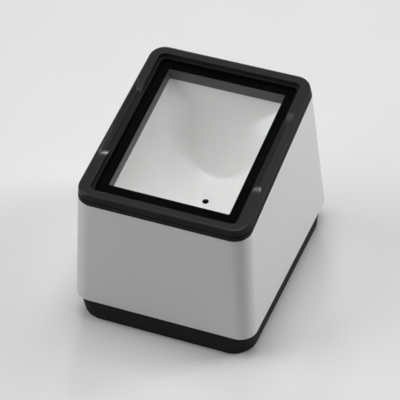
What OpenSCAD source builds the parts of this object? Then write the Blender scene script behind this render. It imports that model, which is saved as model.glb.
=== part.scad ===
// Desktop code scanner with a tilted window: a housing on a low base, a raised frame round
// a recessed glass, and a white reflector over a camera that looks up through the glass.
// Millimetres. +X is to the user's right, +Y to the back, +Z up, and the origin lies under the
// middle of the part, on the surface that it stands on.

/* [Housing] */
// Width of the top at the front of the window seam
top_w = 80; // [70:1:100]
// Length of the window seam along its slope
top_len = 96; // [86:1:120]
// Tilt of the window from level, in degrees
tilt = 10; // [5:0.5:15]
// Height of the front wall, from the lower edge to the window seam
front_h = 56.5; // [52:0.5:75]
// How far each side wall stands out at its lower edge
flare = 3; // [1:0.5:5]
// How far the lower edge runs out behind the back of the seam
back_run = 15; // [13:0.5:22]
// Radius of the upright corners
corner_r = 8; // [7:0.5:11]
// Thickness of the housing's walls
wall = 2.4; // [2.3:0.1:2.6]
// Height of the straight band along the lower edge
edge_land = 0.8; // [0.4:0.1:2]
// Thickness of the flange that carries the frame
flange_t = 2.2; // [1.8:0.1:3]

/* [Frame] */
// Height of the frame above the seam
frame_h = 5.8; // [5.2:0.1:7]
// Bevel along the frame's outer edge
shoulder = 1.15; // [0.6:0.05:1.5]
// Width of the rim along the sides
rim_side = 6.8; // [6.4:0.1:9]
// Width of the rim along the front
rim_front = 4.9; // [4.5:0.1:8]
// Width of the rim along the back
rim_back = 5.3; // [4.9:0.1:8]
// Depth from the top of the rim to its ledge
rim_depth = 2.6; // [2.2:0.1:3]
// Width of the ledge at the foot of the rim
ledge_w = 1.4; // [1:0.1:2]
// Thickness of the lip that holds the glass down
lip_t = 0.7; // [0.5:0.1:1]
// Corner radius of the rim's opening
rim_r = 3; // [2:0.1:4]
// Length of the finger scoop in each side rim
scoop_len = 52; // [35:1:60]
// Length of the ramp at each end of a scoop
scoop_ramp = 8; // [5:0.5:12]
// Drop of a scoop at its inner edge
scoop_drop = 1.8; // [1.2:0.1:2]
// Set-back of the rim's inner wall in a scoop
scoop_back = 2.2; // [1:0.1:2.6]
// Width of the steep part of a scoop
scoop_steep = 1.2; // [0.8:0.1:1.6]
// Strip of flat rim left outside a scoop
scoop_edge = 0.2; // [0.1:0.1:0.6]
// Slope of the gentle part of a scoop, in degrees
scoop_slope = 18; // [8:1:24]

/* [Window] */
// Thickness of the glass
glass_t = 1.2; // [0.8:0.1:1.6]
// How far the glass reaches under the lip
glass_lap = 1.2; // [0.8:0.1:1.4]
// Thickness of the black border film under the glass
film_t = 0.2; // [0.1:0.05:0.4]
// Thickness of the foam gasket
gasket_t = 0.5; // [0.3:0.1:0.8]
// Corner radius of the glass
glass_r = 2.4; // [1.5:0.1:3]
// Corner radius of the clear window
clear_r = 0.6; // [0.3:0.1:2]
// Width of the black border along the sides, from the rim's inner wall
border_side = 5.2; // [4:0.1:8]
// Width of the black border along the front
border_front = 7.1; // [5:0.1:10]
// Width of the black border along the back
border_back = 5.4; // [5:0.1:10]

/* [Collar and reflector] */
// Thickness of the plate that clamps the window from below
collar_t = 2.2; // [1.8:0.1:3]
// Thickness of the upstand round the clear window
upstand_t = 1.2; // [0.8:0.1:1.4]
// Thickness of the reflector
reflector_t = 1.5; // [1.2:0.1:2]
// Height of the reflector's waist above its floor
waist_rise = 6; // [4:0.5:9]
// Width of the reflector at its waist
waist_w = 38; // [34:1:44]
// Length of the reflector at its waist
waist_len = 48; // [44:1:56]
// Corner radius of the waist
waist_r = 10; // [6:0.5:14]
// Diameter of the flat floor round the camera hole
floor_d = 26; // [25:0.5:32]
// Width of the reflector's flange, from the clear window
reflector_flange = 5; // [4.6:0.1:5.2]
// Distance of the reflector's screws from the clear window
reflector_screw_off = 2.9; // [2.7:0.1:3.2]
// Distance of the reflector's screws from the window's middle, along the slope
reflector_screw_s = 29; // [20:1:32]

/* [Light boards] */
// Length of a light board
led_board_len = 40; // [36:1:50]
// Height of a light board
led_board_w = 10; // [9:0.5:12]
// Thickness of a light board
led_board_t = 1.2; // [0.8:0.1:1.6]
// Gap between the reflector's wall and a light board
led_gap = 3; // [2.6:0.1:4]
// Number of lights on a board
led_count = 4; // [2:1:5]
// Distance between lights
led_pitch = 7; // [5:0.5:7]
// Length, width and height of a light
led_size = [3.5, 2.8, 1.6]; // [1:0.1:4]
// Distance between the two posts of a light board
led_post_span = 34; // [30:1:36]
// Diameter of the posts of a light board
led_post_d = 4; // [3.5:0.1:5]
// Height, length and depth of a plug socket on a light board
led_socket = [5, 7, 3.5]; // [2:0.1:8]

/* [Camera] */
// Diameter of the camera hole
eye_d = 2.6; // [2:0.1:4]
// Offset of the camera behind the middle of the clear window
camera_shift = 1.75; // [-4:0.25:4]
// Gap between the reflector's floor and the lens barrel
lens_gap = 0.5; // [0.3:0.1:1]
// Height from the camera board to the top of the lens barrel
lens_stack = 9.5; // [9:0.1:12]
// Diameter of the lens barrel
barrel_d = 7; // [6:0.1:8]
// Length of the lens barrel
barrel_len = 6.5; // [6:0.1:7]
// Bore of the lens barrel
barrel_bore = 4.2; // [3.6:0.1:4.8]
// Thickness of the barrel's front wall
barrel_front = 0.8; // [0.6:0.1:1.2]
// Opening in the barrel's front wall
stop_d = 2.8; // [2:0.1:3.2]
// Thickness of a lens
lens_t = 1.4; // [1:0.1:1.6]
// Radius of a lens face
lens_r = 6; // [5:0.5:10]
// Thickness of the ring between the lenses
spacer_t = 1; // [0.6:0.1:1.4]
// Width of the lens holder
holder_w = 12; // [11:0.5:14]
// Height of the lens holder
holder_h = 6; // [5:0.1:7]
// Width of the room under the barrel
holder_room = 8; // [7.4:0.2:9]
// Height of the room under the barrel
holder_room_h = 2.4; // [1.6:0.1:2.6]
// Width of the image sensor
sensor_w = 6; // [4:0.2:6.6]
// Thickness of the image sensor
sensor_t = 0.9; // [0.6:0.1:1.2]
// Width of the camera board
camera_board_w = 30; // [28:1:36]
// Length of the camera board
camera_board_len = 22; // [18:1:26]
// Thickness of the camera board
camera_board_t = 1.2; // [0.8:0.1:1.6]
// Room between the main board and the front edge of the camera board
camera_room = 9; // [7:0.1:12]
// Distance of the camera posts from the lens axis
camera_post_x = 10.5; // [9.5:0.25:11]
// Diameter of the camera posts
camera_post_d = 4.4; // [4:0.1:5]

/* [Base] */
// Height of the housing's lower edge above the table
base_h = 11.8; // [10:0.1:16]
// How far the feet stand out below the base
foot_proud = 0.5; // [0.3:0.1:1.5]
// How far the base stands in from the housing's lower edge
base_inset = 2.5; // [2.2:0.1:2.6]
// Thickness of the base's floor
base_t = 2.2; // [1.8:0.1:3]
// Thickness of the base's walls
base_wall = 2; // [1.6:0.1:2.6]
// Rounding of the base's lower edge
base_edge = 1.6; // [0.8:0.1:2]
// How far the base reaches up inside the housing
rim_h = 4; // [3:0.5:6]
// Diameter of a foot
foot_d = 10; // [8:0.5:14]
// Thickness of a foot
foot_t = 1.6; // [1.2:0.1:2]
// Distance of the feet from the housing's sides
foot_in_x = 13; // [11:0.5:18]
// Distance of the feet from the housing's ends
foot_in_y = 27; // [24:0.5:34]

/* [Boards] */
// Width of the main board
board_w = 56; // [54:1:58]
// Thickness of the main board
board_t = 1.6; // [1:0.1:2]
// Height of the main board's top above the housing's lower edge
board_rise = 0.5; // [0.3:0.1:1.5]
// Distance of the main board from the front wall
board_front = 14; // [12:0.5:18]
// Distance of the main board from the back of the lower edge
board_back = 8; // [7:0.5:10]
// Distance of the main board's screws from its sides
board_screw_x = 3.5; // [3.2:0.1:5]
// Distance of the main board's front screws from its front edge
board_screw_front = 4; // [3.5:0.1:6]
// Distance of the main board's rear screws from its back edge
board_screw_back = 20; // [16:0.5:24]
// Diameter of the posts under the main board
board_post_d = 5.6; // [5:0.1:7]

/* [Main board's parts] */
// Size of the decoder chip
decoder_size = [14, 14, 1.2]; // [1:0.1:14]
// Place of the decoder chip, from the middle of the board's front edge
decoder_at = [0, 26]; // [-28:1:40]
// Size of the memory chip
memory_size = [8, 12.5, 1.1]; // [1:0.1:13]
// Place of the memory chip
memory_at = [-15, 27]; // [-28:1:40]
// Size of the power chip
power_size = [5, 5, 1]; // [1:0.1:6]
// Place of the power chip
power_at = [15, 22]; // [-28:1:40]
// Size of the crystal
crystal_size = [3.2, 5, 1.2]; // [1:0.1:6]
// Place of the crystal
crystal_at = [14, 32]; // [-28:1:40]
// Size of the inductor
inductor_size = [6, 6, 3]; // [2:0.1:6]
// Place of the inductor
inductor_at = [22, 22]; // [-28:1:40]
// Diameter of a capacitor
capacitor_d = 5; // [4:0.1:6]
// Height of a capacitor
capacitor_h = 5.4; // [4:0.1:8]
// Distance of the capacitors from the board's middle line
capacitor_x = 14; // [12:0.5:20]
// Distance of the rear capacitors from the board's back edge
capacitor_in = 8; // [4:0.5:10]
// Distance between capacitors on one side
capacitor_pitch = 8; // [7:0.5:12]
// Diameter of the buzzer
buzzer_d = 12; // [9:0.5:13]
// Height of the buzzer
buzzer_h = 8.5; // [6:0.5:10]
// Diameter of the buzzer's sound hole
buzzer_hole_d = 2; // [1:0.1:3]
// Depth of the buzzer's sound hole
buzzer_hole_h = 2.5; // [1:0.1:4]
// Place of the buzzer
buzzer_at = [-15, 11]; // [-28:1:40]

/* [Jack] */
// Width of the jack for the lead
jack_w = 15.8; // [15.4:0.1:17]
// Depth of the jack
jack_len = 20; // [18:0.5:22]
// Height of the jack
jack_h = 13.4; // [13.2:0.1:15]
// How far the jack's face lies in front of the lower edge's back
jack_back = 4.5; // [4:0.1:5]
// Width of the plug's opening
mouth_w = 11.8; // [11.6:0.1:12.2]
// Height of the plug's opening
mouth_h = 6.8; // [6.6:0.1:7]
// Depth of the plug's opening
mouth_len = 13; // [12:0.5:15]
// Width of the latch slot
latch_w = 6.2; // [5.8:0.1:6.6]
// Height of the latch slot
latch_h = 3; // [2.4:0.1:3.2]
// Thickness of the jack above the plug's opening
jack_roof = 2; // [1.4:0.1:2.4]
// Number of contacts
contact_count = 8; // [6:1:10]
// Distance between contacts
contact_pitch = 1.02; // [1:0.01:1.1]
// Width and thickness of a contact
contact_w = 0.45; // [0.35:0.05:0.6]
// Length of a contact
contact_len = 9; // [7:0.5:10]

/* [Ribbon and wires] */
// Width of the camera ribbon
ribbon_w = 8; // [6:0.5:10]
// Thickness of the camera ribbon
ribbon_t = 0.3; // [0.3:0.05:0.5]
// Straight stretch of ribbon at the camera board
ribbon_lead = 2; // [1:0.5:4]
// Width, depth and height of a ribbon socket
ribbon_socket = [11, 4, 1.6]; // [1:0.1:12]
// Place of the main board's ribbon socket in front of the camera board's back edge
ribbon_socket_in = 4; // [3:0.5:6]
// Diameter of a light's lead
wire_d = 1.6; // [1.4:0.1:2]
// Width, depth and height of a lead's socket on the main board
wire_socket = [5, 6, 4]; // [3:0.1:8]
// Distance of the lead sockets from the main board's sides
wire_socket_in = 6; // [4:0.5:8]

/* [Screws] */
// Shank diameter of the small screws
small_d = 1.8; // [1.6:0.1:2]
// Head diameter of the small screws
small_head_d = 3; // [2.6:0.1:3.2]
// Head height of the small screws
small_head_h = 1.1; // [0.8:0.1:1.4]
// Grip of a small screw in what it is driven into
small_grip = 2.3; // [1.8:0.1:2.4]
// Distance of the frame screws from the glass's pocket
frame_screw_off = 1.8; // [1.6:0.1:1.9]
// Distance of the outer frame screws from the ends of the rim's opening
frame_screw_in = 9; // [6:0.5:14]
// Shank diameter of the base screws
base_screw_d = 2.4; // [2:0.1:2.8]
// Head diameter of the base screws
base_head_d = 4.6; // [4:0.1:5]
// Head height of the base screws
base_head_h = 2; // [1.6:0.1:2.4]
// Height of the base screws' seat above the base's lower face
base_seat = 8; // [6:0.5:9]
// Grip of a base screw in the housing
base_grip = 10; // [8:0.5:12]
// Diameter of the base's screw bosses
boss_d = 8; // [7.6:0.1:8.4]
// Height of the housing's screw bosses
boss_h = 16; // [14:0.5:18]
// Thickness of the ribs from the housing's bosses to its walls
boss_rib = 2.4; // [1.6:0.1:3]
// Distance of the base screws from the housing's sides
boss_in_x = 9.5; // [9:0.25:10]
// Distance of the base screws from the housing's ends
boss_in_y = 12.5; // [11.5:0.25:14]

/* [Clearances] */
// Room round a piece that drops into another
fit = 0.3; // [0.2:0.05:0.4]
// Room round the glass in the frame
glass_fit = 0.2; // [0.1:0.05:0.3]
// Room round a screw's shank in a passage
passage = 0.15; // [0.1:0.05:0.25]
// Room round a shank in its thread, and round a lens in its barrel
thread = 0.05; // [0.03:0.01:0.08]

/* [Hidden] */
$fn = 64;
hull_fn = 32;
lead_rings = 16;
lead_sides = 8;
lead_pull = 12;
ribbon_steps = 16;
foot_crown = 0.4;
over = 1;

silver = [0.72, 0.73, 0.74];
charcoal = [0.13, 0.13, 0.135];
soot = [0.03, 0.03, 0.032];
milk = [0.92, 0.92, 0.91];
slate = [0.3, 0.3, 0.31];
board_green = [0.05, 0.3, 0.16];
steel = [0.62, 0.62, 0.64];
gold = [0.8, 0.62, 0.25];

// Levels above the seam, square to the window
ledge_h = frame_h - rim_depth;
glass_top = ledge_h - lip_t;
glass_low = glass_top - glass_t;
film_low = glass_low - film_t;
gasket_low = film_low - gasket_t;
collar_low = -flange_t - collar_t;

// Half widths, and places along the slope from the seam's front edge
taper = sin(tilt) * flare / front_h;
back_half = top_w / 2 - top_len * taper;
rim_half = top_w / 2 - rim_side;
rim_s = [rim_front, top_len - rim_back];
lip_half = rim_half - ledge_w;
lip_s = [rim_s[0] + ledge_w, rim_s[1] - ledge_w];
glass_half = lip_half + glass_lap;
glass_s = [lip_s[0] - glass_lap, lip_s[1] + glass_lap];
pocket_half = glass_half + glass_fit;
pocket_s = [glass_s[0] - glass_fit, glass_s[1] + glass_fit];
block_half = glass_half - fit;
block_s = [glass_s[0] + fit, glass_s[1] - fit];
clear_half = rim_half - border_side;
clear_s = [rim_s[0] + border_front, rim_s[1] - border_back];
plate_half = back_half - wall - fit;
plate_s = [wall + fit, top_len - wall - fit];
window_mid = (clear_s[0] + clear_s[1]) / 2;
camera_s = window_mid + camera_shift;
scoop_mid = top_len / 2;
frame_screw_x = pocket_half + frame_screw_off;
frame_screw_s = [rim_s[0] + frame_screw_in, top_len / 2, rim_s[1] - frame_screw_in];
reflector_screw_x = clear_half + reflector_screw_off;

// Places on the table
lower_w = top_w + 2 * flare;
lower_d = top_len * cos(tilt) + back_run;
seam_z = base_h + front_h;
front_over = sin(tilt) * (frame_h - shoulder);
front_y = (front_over - lower_d) / 2;
back_y = front_y + lower_d;
mid_y = (front_y + back_y) / 2;
floor_top = foot_proud + base_t;
rim_top = base_h + rim_h;
board_top = base_h + board_rise;
board_y = [front_y + board_front, back_y - board_back];
wire_x = board_w / 2 - wire_socket_in;
jack_y = back_y - jack_back;
mouth_top = board_top + jack_h - jack_roof;
boss_x = lower_w / 2 - boss_in_x;
boss_y = [front_y + boss_in_y, back_y - boss_in_y];
foot_x = lower_w / 2 - foot_in_x;
foot_y = [front_y + foot_in_y, back_y - foot_in_y];
board_screw_at = [
    for (x = [-1, 1], y = [board_y[0] + board_screw_front, board_y[1] - board_screw_back])
        [x * (board_w / 2 - board_screw_x), y]
];
base_screw_at = [for (x = [-1, 1], y = boss_y) [x * boss_x, y]];
foot_at = [for (x = [-1, 1], y = foot_y) [x * foot_x, y]];

// Levels of the camera and of the reflector over it, from the room left above the main board
camera_edge_s = camera_s - camera_board_len / 2;
camera_edge_z = board_top + camera_room;
camera_h = (camera_edge_z - seam_z - camera_edge_s * sin(tilt)) / cos(tilt) + camera_board_t;
barrel_top = camera_h + lens_stack;
floor_h = barrel_top + lens_gap + reflector_t;
waist_h = floor_h + waist_rise;

// Side walls of the reflector, where the light boards hang
wall_top = [clear_half + reflector_t, collar_low];
wall_end = [waist_w / 2 + reflector_t, waist_h];
wall_mid = (wall_top + wall_end) / 2;
wall_lean = atan2(wall_top[0] - wall_end[0], wall_top[1] - wall_end[1]);
led_socket_x = led_board_w / 2 - led_socket[0] / 2;
led_out = led_gap + led_board_t;

// Half width of the seam at a place along its slope
function half_at(s) = top_w / 2 - s * taper;

// A point of the window's own frame, [across, along the slope, out], in the part's frame
function off_slope(p) = [
    p[0],
    front_y + p[1] * cos(tilt) - p[2] * sin(tilt),
    seam_z + p[1] * sin(tilt) + p[2] * cos(tilt)
];

// A point of a light board's frame, [down the wall, along the slope, out], in the part's frame
function off_wall(side, p) = off_slope([
    side * (wall_mid[0] - p[0] * sin(wall_lean) + p[2] * cos(wall_lean)),
    window_mid + p[1],
    wall_mid[1] - p[0] * cos(wall_lean) - p[2] * sin(wall_lean)
]);

function unit(v) = v / norm(v);

function bezier(p, t) =
    pow(1 - t, 3) * p[0] + 3 * t * pow(1 - t, 2) * p[1] + 3 * t * t * (1 - t) * p[2] + pow(t, 3) * p[3];

function bezier_way(p, t) =
    unit(pow(1 - t, 2) * (p[1] - p[0]) + 2 * t * (1 - t) * (p[2] - p[1]) + t * t * (p[3] - p[2]));

// Places the window's own frame: X across, Y up the slope, Z out of the window
module on_slope() {
    translate([0, front_y, seam_z]) rotate([tilt, 0, 0]) children();
}

// Places the frame of a light board on one side wall of the reflector
module on_wall(side) {
    on_slope() mirror([side < 0 ? 1 : 0, 0, 0])
        translate([wall_mid[0], window_mid, wall_mid[1]]) rotate([0, 90 + wall_lean, 0]) children();
}

module rounded_rect(w, d, r) {
    square([w - 2 * r, d], center = true);
    square([w, d - 2 * r], center = true);
    for (x = [-1, 1], y = [-1, 1])
        translate([x * (w / 2 - r), y * (d / 2 - r)]) circle(r);
}

// A rounded plate of the window's frame, between two places on the slope and two levels
module plate(half, s, r, low, high) {
    translate([0, (s[0] + s[1]) / 2, low]) linear_extrude(high - low)
        rounded_rect(2 * half, s[1] - s[0], r);
}

// Outline of the housing's lower edge, moved in
module lower_outline(inset) {
    translate([0, mid_y]) rounded_rect(lower_w - 2 * inset, lower_d - 2 * inset, corner_r - inset);
}

// Corners of the housing's lower edge, moved in, for a hull
module lower_corners(inset) {
    r = corner_r - inset;
    for (x = [-1, 1], y = [-1, 1])
        translate([x * (lower_w / 2 - inset - r), mid_y + y * (lower_d / 2 - inset - r)])
            circle(r, $fn = hull_fn);
}

// Corners of the window seam, moved in, for a hull
module seam_corners(inset) {
    r = corner_r - inset;
    for (x = [-1, 1], s = [inset + r, top_len - inset - r])
        translate([x * (half_at(s) - inset - r), s]) circle(r, $fn = hull_fn);
}

// The housing's form, moved in, from a level below the lower edge up to a level of the window
module shell_form(inset, below, level) {
    hull() {
        translate([0, 0, base_h - below]) linear_extrude(below + edge_land) lower_corners(inset);
        on_slope() translate([0, 0, level - wall]) linear_extrude(wall) seam_corners(inset);
    }
}

// The reflector's hollow, or its outside with grow set
module funnel_form(grow, rise) {
    hull() {
        translate([-clear_half - grow, clear_s[0] - grow, collar_low - reflector_t / 2])
            cube([2 * (clear_half + grow), clear_s[1] - clear_s[0] + 2 * grow, reflector_t / 2 + rise]);
        translate([0, camera_s, waist_h]) linear_extrude(collar_low - waist_h)
            for (x = [-1, 1], s = [-1, 1])
                translate([x * (waist_w / 2 - waist_r), s * (waist_len / 2 - waist_r)])
                    circle(waist_r + grow, $fn = hull_fn);
        translate([0, camera_s, floor_h - grow]) linear_extrude(collar_low - floor_h + grow)
            circle(floor_d / 2 + grow, $fn = hull_fn);
    }
}

// A screw that is driven along +Z, with its head's seat at the origin
module screw(d, reach, head_d, head_h) {
    slot_w = head_d / 6;
    difference() {
        union() {
            translate([0, 0, -head_h]) cylinder(d = head_d, h = head_h);
            cylinder(d = d, h = reach);
        }
        for (a = [0, 90])
            rotate([0, 0, a]) translate([-head_d / 3, -slot_w / 2, -head_h - over])
                cube([head_d * 2 / 3, slot_w, over + head_h / 2]);
    }
}

// A lead's round sheath along a Bezier curve, with its ends square to the curve
module tube(p) {
    side = [0, 1, 0];
    points = [
        for (i = [0 : lead_rings]) let (
            way = bezier_way(p, i / lead_rings),
            a = unit(cross(way, side)),
            b = cross(way, a)
        )
        for (k = [0 : lead_sides - 1]) let (turn = 360 * k / lead_sides)
            bezier(p, i / lead_rings) + wire_d / 2 * (cos(turn) * a + sin(turn) * b)
    ];
    walls = [
        for (i = [0 : lead_rings - 1], k = [0 : lead_sides - 1]) let (
            q = i * lead_sides + k,
            r = i * lead_sides + (k + 1) % lead_sides
        )
        each [[q, q + lead_sides, r], [r, q + lead_sides, r + lead_sides]]
    ];
    first = [for (k = [0 : lead_sides - 1]) k];
    last = [for (k = [lead_sides - 1 : -1 : 0]) lead_rings * lead_sides + k];
    polyhedron(points, concat(walls, [first], [last]));
}

// Cut of one finger scoop, in the right rim
module scoop_cut() {
    outer = half_at(scoop_mid + scoop_len / 2) - shoulder - scoop_edge;
    inner = rim_half + scoop_back;
    knee_h = frame_h - scoop_drop + (outer - scoop_steep - inner) * tan(scoop_slope);
    start = scoop_mid - scoop_len / 2;
    stop = scoop_mid + scoop_len / 2;
    intersection() {
        translate([0, stop, 0]) rotate([90, 0, 0]) linear_extrude(scoop_len) polygon([
            [rim_half - ledge_w / 2, ledge_h], [inner, ledge_h], [inner, frame_h - scoop_drop],
            [outer - scoop_steep, knee_h], [outer, frame_h], [outer, frame_h + over],
            [rim_half - ledge_w / 2, frame_h + over]
        ]);
        rotate([90, 0, 90]) linear_extrude(top_w) polygon([
            [start + scoop_ramp, ledge_h], [stop - scoop_ramp, ledge_h], [stop, frame_h],
            [stop, frame_h + over], [start, frame_h + over], [start, frame_h]
        ]);
    }
}

module frame_screw_places() {
    for (x = [-1, 1], s = frame_screw_s) translate([x * frame_screw_x, s, 0]) children();
}

module reflector_screw_places() {
    for (x = [-1, 1], s = [-1, 1])
        translate([x * reflector_screw_x, window_mid + s * reflector_screw_s, 0]) children();
}

module light_post_places() {
    for (y = [-1, 1]) translate([0, y * led_post_span / 2, 0]) children();
}

module camera_post_places() {
    for (x = [-1, 1]) translate([x * camera_post_x, camera_s, 0]) children();
}

// One of the housing's screw bosses with its rib to the side wall
module housing_boss(at) {
    side = sign(at[0]);
    reach = lower_w / 2 - wall + fit - abs(at[0]);
    translate([at[0], at[1], rim_top]) {
        cylinder(d = boss_d - 2 * fit, h = boss_h);
        translate([side > 0 ? 0 : -reach, -boss_rib / 2, 0]) cube([reach, boss_rib, boss_h]);
    }
}

module housing() {
    color(silver) difference() {
        union() {
            difference() {
                shell_form(0, 0, 0);
                shell_form(wall, over, -flange_t);
            }
            for (at = base_screw_at) housing_boss(at);
        }
        on_slope() plate(block_half + fit, block_s + [-fit, fit], glass_r, -flange_t - over, over);
        on_slope() frame_screw_places() translate([0, 0, -flange_t - over])
            cylinder(d = small_d + 2 * passage, h = flange_t + 2 * over);
        translate([0, 0, base_h - over]) linear_extrude(rim_h + over + fit)
            lower_outline(base_inset - fit);
        for (at = base_screw_at) translate([at[0], at[1], rim_top - over])
            cylinder(d = base_screw_d + 2 * thread, h = base_grip + over + 2);
        translate([-jack_w / 2 - fit, jack_y - jack_len / 2, base_h - over])
            cube([jack_w + 2 * fit, jack_len, board_rise + jack_h + fit + over]);
    }
}

module top_frame() {
    color(charcoal) on_slope() difference() {
        hull() {
            linear_extrude(frame_h - shoulder) seam_corners(0);
            linear_extrude(frame_h) seam_corners(shoulder);
        }
        plate(rim_half, rim_s, rim_r, ledge_h, frame_h + over);
        plate(lip_half, lip_s, glass_r, glass_top - over, frame_h);
        plate(pocket_half, pocket_s, glass_r + glass_fit, -over, glass_top);
        scoop_cut();
        mirror([1, 0, 0]) scoop_cut();
        frame_screw_places() translate([0, 0, -over])
            cylinder(d = small_d + 2 * thread, h = over + small_grip + fit);
    }
}

module window_glass() {
    color([0.75, 0.85, 0.85, 0.35]) on_slope() plate(glass_half, glass_s, glass_r, glass_low, glass_top);
}

module border_film() {
    color(soot) on_slope() difference() {
        plate(glass_half, glass_s, glass_r, film_low, glass_low);
        plate(clear_half, clear_s, clear_r, film_low - over, glass_low + over);
    }
}

module window_gasket() {
    gap = upstand_t + fit;
    color(soot) on_slope() difference() {
        plate(block_half, block_s, glass_r - fit, gasket_low, film_low);
        plate(clear_half + gap, clear_s + [-gap, gap], clear_r, gasket_low - over, film_low + over);
    }
}

module window_collar() {
    color(slate) on_slope() difference() {
        union() {
            plate(plate_half, plate_s, corner_r - wall, collar_low, -flange_t);
            plate(block_half, block_s, glass_r - fit, collar_low, gasket_low);
            plate(clear_half + upstand_t, clear_s + [-upstand_t, upstand_t], clear_r, collar_low, film_low);
        }
        plate(clear_half, clear_s, clear_r, collar_low - over, film_low + over);
        frame_screw_places() translate([0, 0, collar_low - over])
            cylinder(d = small_d + 2 * passage, h = collar_t + 2 * over);
        reflector_screw_places() translate([0, 0, collar_low - over])
            cylinder(d = small_d + 2 * thread, h = over + small_grip + fit);
    }
}

module reflector() {
    hold = reflector_t / 2;
    flange_half = clear_half + reflector_flange;
    flange_s = clear_s + [-reflector_flange, reflector_flange];
    color(milk) difference() {
        union() {
            on_slope() {
                funnel_form(reflector_t, 0);
                plate(flange_half, flange_s, glass_r, collar_low - reflector_t, collar_low);
                camera_post_places() translate([0, 0, camera_h])
                    cylinder(d = camera_post_d, h = floor_h - hold - camera_h);
            }
            for (side = [-1, 1]) on_wall(side) light_post_places() translate([0, 0, -hold])
                cylinder(d = led_post_d, h = led_gap + hold);
        }
        on_slope() {
            funnel_form(0, over);
            translate([0, camera_s, floor_h - reflector_t - over])
                cylinder(d = eye_d, h = reflector_t + 2 * over);
            reflector_screw_places() translate([0, 0, collar_low - reflector_t - over])
                cylinder(d = small_d + 2 * passage, h = reflector_t + 2 * over);
            camera_post_places() translate([0, 0, camera_h - over])
                cylinder(d = small_d + 2 * thread, h = over + small_grip + fit);
        }
        for (side = [-1, 1]) on_wall(side) light_post_places() translate([0, 0, led_gap - small_grip - fit])
            cylinder(d = small_d + 2 * thread, h = small_grip + fit + over);
    }
}

module light_board(side) {
    color(milk) on_wall(side) difference() {
        translate([-led_board_w / 2, -led_board_len / 2, led_gap])
            cube([led_board_w, led_board_len, led_board_t]);
        light_post_places() translate([0, 0, led_gap - over])
            cylinder(d = small_d + 2 * passage, h = led_board_t + 2 * over);
    }
}

module lights(side) {
    first = -(led_count - 1) * led_pitch / 2 - led_size[1] / 2;
    color([0.95, 0.9, 0.6]) on_wall(side) for (i = [0 : led_count - 1])
        translate([-led_size[0] / 2, first + i * led_pitch, led_gap - led_size[2]]) cube(led_size);
}

module left_light_board() {
    light_board(-1);
}

module right_light_board() {
    light_board(1);
}

module left_lights() {
    lights(-1);
}

module right_lights() {
    lights(1);
}

module light_sockets() {
    color(milk) for (side = [-1, 1]) on_wall(side)
        translate([led_socket_x - led_socket[0] / 2, -led_socket[1] / 2, led_out]) cube(led_socket);
}

// The lead from a light board's socket down to the main board
module light_lead(side) {
    out = led_out + led_socket[2] / 2;
    down = led_socket_x + led_socket[0] / 2;
    start = off_wall(side, [down, 0, out]);
    end = [side * wire_x, start[1], board_top + wire_socket[2]];
    color([0.7, 0.1, 0.1])
        tube([start, off_wall(side, [down + lead_pull, 0, out]), end + [0, 0, lead_pull], end]);
}

module left_light_lead() {
    light_lead(-1);
}

module right_light_lead() {
    light_lead(1);
}

module lead_sockets() {
    at = off_wall(1, [led_socket_x + led_socket[0] / 2, 0, led_out + led_socket[2] / 2]);
    color(milk) for (side = [-1, 1])
        translate([side * wire_x - wire_socket[0] / 2, at[1] - wire_socket[1] / 2, board_top])
            cube(wire_socket);
}

module camera_board() {
    color(board_green) on_slope() difference() {
        translate([-camera_board_w / 2, camera_s - camera_board_len / 2, camera_h - camera_board_t])
            cube([camera_board_w, camera_board_len, camera_board_t]);
        camera_post_places() translate([0, 0, camera_h - camera_board_t - over])
            cylinder(d = small_d + 2 * passage, h = camera_board_t + 2 * over);
    }
}

module image_sensor() {
    color(soot) on_slope() translate([-sensor_w / 2, camera_s - sensor_w / 2, camera_h])
        cube([sensor_w, sensor_w, sensor_t]);
}

module lens_holder() {
    color(charcoal) on_slope() translate([0, camera_s, camera_h]) difference() {
        linear_extrude(holder_h) rounded_rect(holder_w, holder_w, 1);
        translate([0, 0, -over]) linear_extrude(over + holder_room_h)
            square(holder_room, center = true);
        cylinder(d = barrel_d + 2 * thread, h = holder_h + over);
    }
}

module lens_barrel() {
    color(soot) on_slope() translate([0, camera_s, barrel_top - barrel_len]) difference() {
        cylinder(d = barrel_d, h = barrel_len);
        translate([0, 0, -over]) cylinder(d = barrel_bore, h = over + barrel_len - barrel_front);
        cylinder(d = stop_d, h = barrel_len + over);
    }
}

// A lens that is flat on its upper or lower side and round on the other
module lens(low, round_up) {
    color([0.75, 0.8, 0.9, 0.4]) on_slope() translate([0, camera_s, low]) intersection() {
        cylinder(d = barrel_bore - 2 * thread, h = lens_t);
        translate([0, 0, round_up ? lens_t - lens_r : lens_r]) sphere(lens_r);
    }
}

module front_lens() {
    lens(barrel_top - barrel_front - lens_t, true);
}

module lens_spacer() {
    color(soot) on_slope()
        translate([0, camera_s, barrel_top - barrel_front - lens_t - spacer_t]) difference() {
            cylinder(d = barrel_bore - 2 * thread, h = spacer_t);
            translate([0, 0, -over]) cylinder(d = stop_d, h = spacer_t + 2 * over);
        }
}

module rear_lens() {
    lens(barrel_top - barrel_front - 2 * lens_t - spacer_t, false);
}

module camera_socket() {
    color(milk) on_slope() translate([
        -ribbon_socket[0] / 2,
        camera_s + camera_board_len / 2 - ribbon_socket[1],
        camera_h - camera_board_t - ribbon_socket[2]
    ]) cube(ribbon_socket);
}

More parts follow.
